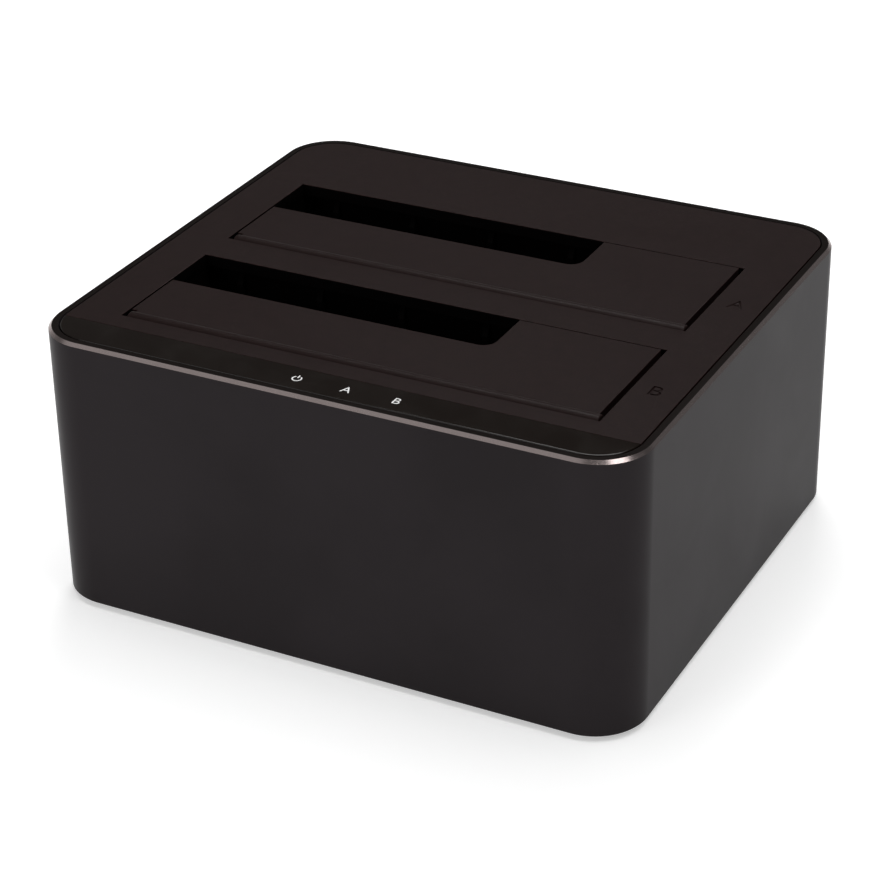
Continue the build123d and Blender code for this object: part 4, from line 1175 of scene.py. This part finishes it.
# %% Hinge pins and the inlet's pin
pin_edge = 0.1 * mm
for name in ("a", "b"):
    work = bmesh.new()
    for low, high in solids_of("hinge_pins_" + name):
        middle = (low + high) / 2
        outline = rod_outline((high.z - low.z) / 2, high.x - low.x, pin_edge)
        turned(work, outline, (low.x, middle.y, middle.z), axis="X")
    pins = as_piece(work, "turned_pins_" + name, outward=True)
    complete(pins, "flap_" + name, ["steel"], ["hinge_pins_" + name])

low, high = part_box("dc_pin")
middle = (low + high) / 2
pin_radius = (high.z - low.z) / 2
pin_length = high.y - low.y
tip_start, tip_bend = 0.7 * mm, 0.25 * mm
bend_share, end_share = 0.8, 0.45
tip = [
    (0, 0),
    (pin_radius, 0),
    (pin_radius, pin_length - tip_start),
    (pin_radius * bend_share, pin_length - tip_bend),
    (pin_radius * end_share, pin_length),
    (0, pin_length),
]
inlet_pin = turned_piece("inlet_pin", tip, (middle.x, low.y, middle.z), axis="Y")
complete(inlet_pin, "dock", ["steel"], ["dc_pin"])

# %% [markdown]
# Screws repeat most of all, so one rule makes every kind. Its head is a low dome with a cross
# recess cut by a boolean, and its thread is a cylinder whose points move in and out with their
# height and their angle together, which is what a helix is. The rule stands a copy on each point
# of its start mesh, and the points come from the middle of each screw in the frame.

# %% The rule for screws
dome_share = -0.42
dome_starts_share = 0.9
arm_length_share, arm_height_share = 1.15, 1.1
rings_per_turn = 4.0
thread_depth_share = -0.5
tree, inlet = new_rule(
    "cross_head_screw",
    Head_radius=0.002,
    Head_height=0.001,
    Shank_radius=0.001,
    Shank_length=0.006,
    Pitch=0.0006,
    Recess=0.0004,
    Flip=0.0,
)
head_radius, head_height = inlet["Head radius"], inlet["Head height"]


def raised(tree, shape, height):
    """A shape moved along the vertical."""
    up = vector_of(tree, Z=height)
    return output_of(tree, "GeometryNodeTransform", Geometry=shape, Translation=up)


def shifted(tree, shape, **offset):
    """A shape whose points move by an offset's X, Y and Z."""
    by = vector_of(tree, **offset)
    return output_of(tree, "GeometryNodeSetPosition", Geometry=shape, Offset=by)


disc = add_node(tree, "GeometryNodeMeshCylinder", Vertices=32, Side_Segments=2, Fill_Segments=5)
fill(tree, disc, Radius=head_radius, Depth=head_height)
head = raised(tree, disc.outputs["Mesh"], product(tree, head_height, 0.5))
where = own_place(tree)
squares = [product(tree, where[part], where[part]) for part in "XY"]
reach = calculate(
    tree, "DIVIDE", calculate(tree, "ADD", *squares), product(tree, head_radius, head_radius)
)
on_top = calculate(tree, "GREATER_THAN", where["Z"], product(tree, head_height, dome_starts_share))
domed = shifted(tree, head, Z=product(tree, reach, on_top, dome_share, head_height))

recessed = add_node(tree, "GeometryNodeMeshBoolean", operation="DIFFERENCE", solver="EXACT")
fill(tree, recessed, Mesh_1=domed)
arm_length = product(tree, head_radius, arm_length_share)
arm_height = product(tree, head_height, arm_height_share)
for first, second in ((arm_length, inlet["Recess"]), (inlet["Recess"], arm_length)):
    size = vector_of(tree, X=first, Y=second, Z=arm_height)
    arm = add_node(tree, "GeometryNodeMeshCube", Size=size).outputs["Mesh"]
    fill(tree, recessed, Mesh_2=raised(tree, arm, head_height))

shank_length, pitch = inlet["Shank length"], inlet["Pitch"]
core = add_node(tree, "GeometryNodeMeshCylinder", Vertices=20, Depth=shank_length)
turns_of_thread = calculate(tree, "DIVIDE", shank_length, pitch)
side_segments = product(tree, turns_of_thread, rings_per_turn)
fill(tree, core, Side_Segments=side_segments, Radius=inlet["Shank radius"])
shank = raised(tree, core.outputs["Mesh"], product(tree, shank_length, -0.5))
angle = calculate(tree, "ARCTAN2", where["Y"], where["X"])
rise = calculate(tree, "DIVIDE", where["Z"], pitch)
phase = calculate(tree, "ADD", rise, calculate(tree, "DIVIDE", angle, 2 * math.pi))
thinner = product(tree, calculate(tree, "PINGPONG", phase, 0.5), thread_depth_share)
shrink = {part: product(tree, where[part], thinner) for part in "XY"}
threaded = shifted(tree, shank, **shrink)

screw = add_node(tree, "GeometryNodeJoinGeometry", Geometry=recessed.outputs[0])
fill(tree, screw, Geometry=threaded)
stood = stand_on_points(tree, inlet["Geometry"], screw.outputs[0], X=inlet["Flip"])
end_rule(tree, stood, inlet["Finish"])


# %% The screws
first_turn, turn_step = 0.4, 1.1


def screws(node, name, shank_radius, head_height, pitch, recess, head_up):
    """Grows a screw in the place of each one in a node."""
    seats = []
    for low, high in solids_of(node):
        middle = (low + high) / 2
        seat = high.z - head_height if head_up else low.z + head_height
        seats.append((middle.x, middle.y, seat))
    turns = [first_turn + turn_step * i for i in range(len(seats))]
    piece = grow(
        name,
        "cross_head_screw",
        points_mesh(seats, turns),
        Head_radius=(high.y - low.y) / 2,
        Head_height=head_height,
        Shank_radius=shank_radius,
        Shank_length=high.z - low.z - head_height,
        Pitch=pitch,
        Recess=recess,
        Flip=0.0 if head_up else math.pi,
        Finish=paint["screw"],
    )
    complete(piece, "dock", stands_for=[node])


small_screw = (0.95 * mm, 1.2 * mm, 0.6 * mm, 0.5 * mm)
screws("base_screws", "base_screws_cut", 1.45 * mm, 1.4 * mm, 1.0 * mm, 0.75 * mm, False)
screws("well_screws", "well_screws_cut", *small_screw, False)
screws("board_screws", "board_screws_cut", *small_screw, True)

# %% [markdown]
# The contacts of a drive socket stand side by side in its slots, each a thin strip that bows
# towards the drive. A rule bows one strip and stands a copy of it in each contact's place.

# %% The rule for bowed contacts
tree, inlet = new_rule(
    "bowed_contacts", Width=0.0005, Thickness=0.0002, Length=0.005, Bow=0.0002
)
size = vector_of(tree, X=inlet["Width"], Y=inlet["Thickness"], Z=inlet["Length"])
strip_mesh = add_node(tree, "GeometryNodeMeshCube", Vertices_Z=9, Size=size).outputs["Mesh"]
share = calculate(tree, "DIVIDE", own_place(tree)["Z"], inlet["Length"])
wave = calculate(tree, "COSINE", product(tree, share, math.pi))
bowed = shifted(tree, strip_mesh, Y=product(tree, wave, inlet["Bow"], -1.0))
end_rule(tree, stand_on_points(tree, inlet["Geometry"], bowed), inlet["Finish"])

# %% The drive sockets and their contacts
contact_bow = 0.22 * mm
socket_round = 0.1 * mm
head_bottom = 14.5 * mm
for name in ("a", "b"):
    boxes = solids_of("sata_contacts_" + name)
    low, high = boxes[0]
    row = grow(
        "bowed_contacts_" + name,
        "bowed_contacts",
        points_mesh([(low + high) / 2 for low, high in boxes]),
        Width=high.x - low.x,
        Thickness=high.y - low.y,
        Length=high.z - low.z,
        Bow=contact_bow,
        Finish=paint["contact"],
    )
    complete(row, "dock", stands_for=["sata_contacts_" + name])
    node = "sata_socket_" + name
    moulding = "drive_socket_" + name
    socket = rounded_copy(node, moulding, socket_round, lambda p: p.z > head_bottom)
    complete(socket, "dock", ["socket"], [node])

# %% [markdown]
# Feet, and the leads of the chips, need no shape worked out by the rule: one item is built from
# listed points, and a small rule copies it on to points.

# %% The rule for copies of one item
tree, inlet = new_rule("copies_on_points", Item="Object")
item = add_node(tree, "GeometryNodeObjectInfo", Object=inlet["Item"]).outputs["Geometry"]
end_rule(tree, stand_on_points(tree, inlet["Geometry"], item), inlet["Finish"])


def copies(name, item, places, finish, turns=None):
    """Copies an item on to places, and removes the item."""
    piece = grow(name, "copies_on_points", points_mesh(places, turns), Item=item, Finish=finish)
    bpy.data.objects.remove(item)
    return piece


# %% The feet
boxes = solids_of("rubber_feet")
low, high = boxes[0]
foot_radius = (high.x - low.x) / 2
foot_height = high.z - low.z
sole_dish = 0.2 * mm
dish_inset, dish_edge = 2.0 * mm, 1.7 * mm
foot_bevel, foot_edge = 0.5 * mm, 0.15 * mm
foot_outline = [
    (0, sole_dish),
    (foot_radius - dish_inset, sole_dish),
    (foot_radius - dish_edge, 0),
    (foot_radius - foot_bevel, 0),
    (foot_radius - foot_edge, foot_edge),
    (foot_radius, foot_bevel),
    (foot_radius, foot_height),
    (0, foot_height),
]
foot = turned_piece("foot", foot_outline, (0, 0, 0), steps=40)
places = [((low.x + high.x) / 2, (low.y + high.y) / 2, low.z) for low, high in boxes]
feet = copies("turned_feet", foot, places, paint["foot"])
complete(feet, "dock", stands_for=["rubber_feet"])


# %% The leads of the chips
def bent_strip(points, width, thickness, name):
    """A strip that follows points of (out, up), centred across its width."""
    work = bmesh.new()
    rows = []
    for out, up in points:
        section = [(-1, -1), (1, -1), (1, 1), (-1, 1)]
        row = [(out, side * width / 2, up + lift * thickness / 2) for side, lift in section]
        rows.append([work.verts.new(corner) for corner in row])
    for first, second in zip(rows, rows[1:]):
        for i in range(4):
            j = (i + 1) % 4
            work.faces.new((first[i], first[j], second[j], second[i]))
    work.faces.new(rows[0][::-1])
    work.faces.new(rows[-1])
    return as_piece(work, name, outward=True)


board_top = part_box("main_board")[1].z
lead_path = [(-0.1, 0.55), (0.3, 0.55), (0.5, 0.07), (1.0, 0.07)]
lead_thickness = 0.12 * mm


def chip_leads(node, name, sides, per_side, pitch, width):
    """Leads along the named sides of a chip, which are counted in quarter turns."""
    low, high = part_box(node)
    middle = (low + high) / 2
    places, turns = [], []
    for side in sides:
        out = (high.x - low.x) / 2 if side % 2 == 0 else (high.y - low.y) / 2
        angle = side * math.pi / 2
        for i in range(per_side):
            step = (i - (per_side - 1) / 2) * pitch
            x = middle.x + out * math.cos(angle) - step * math.sin(angle)
            y = middle.y + out * math.sin(angle) + step * math.cos(angle)
            places.append((x, y, board_top))
            turns.append(angle)
    path = [(out * mm, up * mm) for out, up in lead_path]
    lead = bent_strip(path, width, lead_thickness, "lead")
    complete(copies(name, lead, places, paint["tin"], turns), "dock")


chip_leads("controller_chip", "controller_leads", (0, 1, 2, 3), 16, 0.5 * mm, 0.22 * mm)
chip_leads("flash_chip", "flash_leads", (1, 3), 4, 1.2 * mm, 0.4 * mm)

# %% The chips, with the dimple that marks the first lead
chip_round = 0.08 * mm
dimple_depth = 0.12 * mm
dimple_height = 0.5 * mm
dimple_edge = 0.01 * mm
dimple_x_share, dimple_y_share, dimple_radius_share = 0.16, 0.2, 0.06
for node in ("controller_chip", "flash_chip"):
    low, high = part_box(node)
    package = rounded_copy(node, node + "_package", chip_round)
    size = high.x - low.x
    x, y = low.x + dimple_x_share * size, low.y + dimple_y_share * size
    outline = rod_outline(dimple_radius_share * size, dimple_height, dimple_edge)
    combine(package, turned_piece("dimple", outline, (x, y, high.z - dimple_depth), steps=20))
    complete(package, "dock", ["chip"], [node])

# %% [markdown]
# The board's power parts have plain stand-ins in the frame. Here the capacitors get their rolled
# cans, their cut base and the dark mark of the negative side, the inductors a winding's lid, and
# the crystal the oval can that gives such parts their look.


# %% Capacitors
def prism(work, corners, z0, z1):
    """An upright prism over corners of (x, y)."""
    bottom = [work.verts.new((x, y, z0)) for x, y in corners]
    top = [work.verts.new((x, y, z1)) for x, y in corners]
    faces = [work.faces.new(bottom[::-1]), work.faces.new(top)]
    for i in range(len(corners)):
        j = (i + 1) % len(corners)
        faces.append(work.faces.new((bottom[i], bottom[j], top[j], top[i])))
    return faces


can_margin = 0.1 * mm
can_foot, can_shoulder = 0.3 * mm, 0.4 * mm
groove_low, groove_middle, groove_high = 0.8 * mm, 1.1 * mm, 1.4 * mm
rolled_depth = 0.25 * mm
flat_top, top_band = 0.9, 0.1 * mm
base_cut = 1.3 * mm
foot_top = board_top + 1.0 * mm
dark_mark_share = 0.42
capacitors = solids_of("capacitors")
work = bmesh.new()
for low, high in capacitors:
    middle = (low + high) / 2
    half = (high.x - low.x) / 2
    radius = half - can_margin
    left, right = middle.x - half, middle.x + half
    front, rear = middle.y - half, middle.y + half
    corners = [
        (left, front),
        (right - base_cut, front),
        (right, front + base_cut),
        (right, rear - base_cut),
        (right - base_cut, rear),
        (left, rear),
    ]
    for face in prism(work, corners, board_top, foot_top):
        face.material_index = 1
    can_height = high.z - foot_top
    can = [
        (0, 0),
        (radius - can_foot, 0),
        (radius, can_foot),
        (radius, groove_low),
        (radius - rolled_depth, groove_middle),
        (radius, groove_high),
        (radius, can_height - can_shoulder),
        (radius - can_shoulder, can_height),
        (0, can_height),
    ]
    turned(work, can, (middle.x, middle.y, foot_top), steps=32)
bmesh.ops.recalc_face_normals(work, faces=work.faces)
can_xs = [(low.x + high.x) / 2 for low, high in capacitors]
can_top = high.z - top_band
for face in work.faces:
    centre = face.calc_center_median()
    near = min((abs(centre.x - x), x) for x in can_xs)[1]
    on_top = face.normal.z > flat_top and centre.z > can_top
    if on_top and centre.x < near - radius * dark_mark_share:
        face.material_index = 1
cans = as_piece(work, "rolled_cans")
complete(cans, "dock", ["capacitor", "chip"], ["capacitors"])

# %% Inductors and crystal
core_round = 0.3 * mm
groove_inner, groove_outer = 2.2 * mm, 2.45 * mm
groove_height, groove_depth = 0.4 * mm, 0.2 * mm
cores = rounded_copy("inductors", "shielded_inductors", core_round, steps=3)
for low, high in solids_of("inductors"):
    middle = (low + high) / 2
    work = bmesh.new()
    outline = [(groove_inner, 0), (groove_outer, 0), (groove_outer, groove_height)]
    outline += [(groove_inner, groove_height), (groove_inner, 0)]
    turned(work, outline, (middle.x, middle.y, high.z - groove_depth), steps=32)
    merge(work)
    combine(cores, as_piece(work, "lid_groove", outward=True))
complete(cores, "dock", ["ferrite"], ["inductors"])


def stadium(middle, width, depth, steps=12):
    """Corners of a rectangle with round ends."""
    corners = []
    for side, first in ((1, -90), (-1, 90)):
        centre = (middle.x + side * (width - depth) / 2, middle.y)
        corners += arc(centre, depth / 2, first, first + 180, steps)
    return corners


flange_height = 0.45 * mm
flange_width = 0.8 * mm
crystal_round = 0.35 * mm
low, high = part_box("crystal")
middle = (low + high) / 2
width, depth = high.x - low.x, high.y - low.y
work = bmesh.new()
prism(work, stadium(middle, width, depth), low.z, low.z + flange_height)
can_outline = stadium(middle, width - flange_width, depth - flange_width)
prism(work, can_outline, low.z + flange_height, high.z)
soften(work, crystal_round, lambda p: p.z > high.z - touch, steps=3)
crystal_can = as_piece(work, "oval_crystal")
complete(crystal_can, "dock", ["can"], ["crystal"])

# %% [markdown]
# A board like this carries dozens of tiny parts. They aren't in the frame, because they touch
# nothing, but a board without them looks empty. They stand in rows round the chips and the ports,
# each with a dark body and two tinned ends.


# %% The smallest parts on the board
def box_item(size, places, name):
    """One item of boxes of the same size at places along X."""
    work = bmesh.new()
    x, y = size[0] / 2, size[1] / 2
    for place in places:
        corners = [(place - x, -y), (place + x, -y), (place + x, y), (place - x, y)]
        prism(work, corners, 0, size[2])
    return as_piece(work, name)


small_part_rows = [  # the first place, the step to the next, their count and their turn
    ((-53.5, 14.0), (0, 2.2), 6, 0.0),
    ((-33.0, 33.0), (2.4, 0), 6, math.pi / 2),
    ((-30.0, 46.0), (2.6, 0), 4, math.pi / 2),
    ((12.0, 33.5), (0, 2.4), 5, 0.0),
    ((-12.0, -49.5), (0, 2.0), 3, 0.0),
    ((-1.2, -49.5), (0, 2.0), 3, 0.0),
    ((9.6, -49.5), (0, 2.0), 3, 0.0),
]
body_size = (1.1 * mm, 0.8 * mm, 0.5 * mm)
end_size = (0.3 * mm, 0.82 * mm, 0.52 * mm)
end_reach = 0.68 * mm
places, turns = [], []
for (x, y), (dx, dy), count, turn in small_part_rows:
    for i in range(count):
        places.append(((x + dx * i) * mm, (y + dy * i) * mm, board_top))
        turns.append(turn)
body_item = box_item(body_size, [0], "small_body")
ends_item = box_item(end_size, [-end_reach, end_reach], "small_ends")
bodies = copies("small_part_bodies", body_item, places, paint["chip"], turns)
complete(bodies, "dock")
ends = copies("small_part_ends", ends_item, places, paint["tin"], turns)
complete(ends, "dock")

# %% [markdown]
# What is left has the right shape already. Some of it gets rounded edges through a copy, and the
# rest keeps its node from the frame and takes only its finish.

# %% Parts with rounded edges
rounded_parts = [  # the node, its new name, its edges' radius in mm and its finish
    ("rear_plate", "port_plate", 0.2, "plate"),
    ("usb_shell", "folded_shell", 0.08, "shell"),
    ("usb_insulator", "socket_moulding", 0.12, "insulator"),
    ("dc_jack", "inlet_moulding", 0.2, "jack"),
    ("switch_housing", "switch_moulding", 0.2, "switch"),
    ("switch_terminals", "bent_terminals", 0.1, "tin"),
    ("indicator_leds", "lamp_blocks", 0.12, "lamp"),
    ("light_pipe", "clear_columns", 0.15, "clear"),
    ("base_cover", "base_moulding", 0.18, "base"),
    ("main_board", "lacquered_board", 0.06, "board"),
]
for node, name, width, finish in rounded_parts:
    complete(rounded_copy(node, name, width * mm), "dock", [finish], [node])

# %% The rocker and its marks
# The rocker rests turned by its tilt about its axle, so its marks are drawn on a level plane and
# then carried to its two faces.
rocker_round = 0.25 * mm
rocker = rounded_copy("switch_rocker", "rocker_moulding", rocker_round, steps=3)
complete(rocker, "rocker", ["rocker"], ["switch_rocker"])

axle = Vector((-20.0 * mm, 54.4 * mm, 16.95 * mm))
tilt = math.radians(11.0)
valley = 1.2 * mm
film = 0.015 * mm
mark_middle = 2.9 * mm
off_ring = (0.85 * mm, 1.12 * mm)
on_half_height = 1.1 * mm
for name, side in (("rocker_mark_off", 1), ("rocker_mark_on", -1)):
    work = bmesh.new()
    if side > 0:
        arc_band(work, (0, 0), *off_ring, 0, 360, 0, steps=32)
        merge(work)
    else:
        flat_box(work, -mark_half_width, mark_half_width, -on_half_height, on_half_height, 0)
    draw_out(work, work.faces[:], (0, 0, 2 * film))
    height = valley + mark_middle * math.tan(tilt) - film
    on_face = Matrix.Translation((side * mark_middle, height, 0))
    slope = Matrix.Rotation(side * tilt, 4, "Z")
    upright = Matrix.Rotation(-math.pi / 2, 4, "X")
    rest = Matrix.Translation(axle) @ Matrix.Rotation(-tilt, 4, "Z")
    work.transform(rest @ on_face @ slope @ upright)
    complete(as_piece(work, name, outward=True), "rocker", ["mark"])

# %% Finishes for the nodes that stay
# The wells keep their nodes, in the near-black well finish that is painted shade.
kept_finishes = {"well_a": "well", "well_b": "well", "usb_contacts": "contact"}
for node, name in kept_finishes.items():
    nodes[node].data.materials.clear()
    nodes[node].data.materials.append(paint[name])
still_plain = [n for n, o in nodes.items() if not o.hide_render and n not in kept_finishes]
print("nodes with no finish:", still_plain)

# %% [markdown]
# Last, the box of the dressed model is set beside that of the bare one. They should agree.

# %% The two boxes, and the end
visual_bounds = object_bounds()
for label, (low, high) in (("cad", cad_bounds), ("visual", visual_bounds)):
    print(label, [round(side / mm, 2) for side in high - low], "mm")
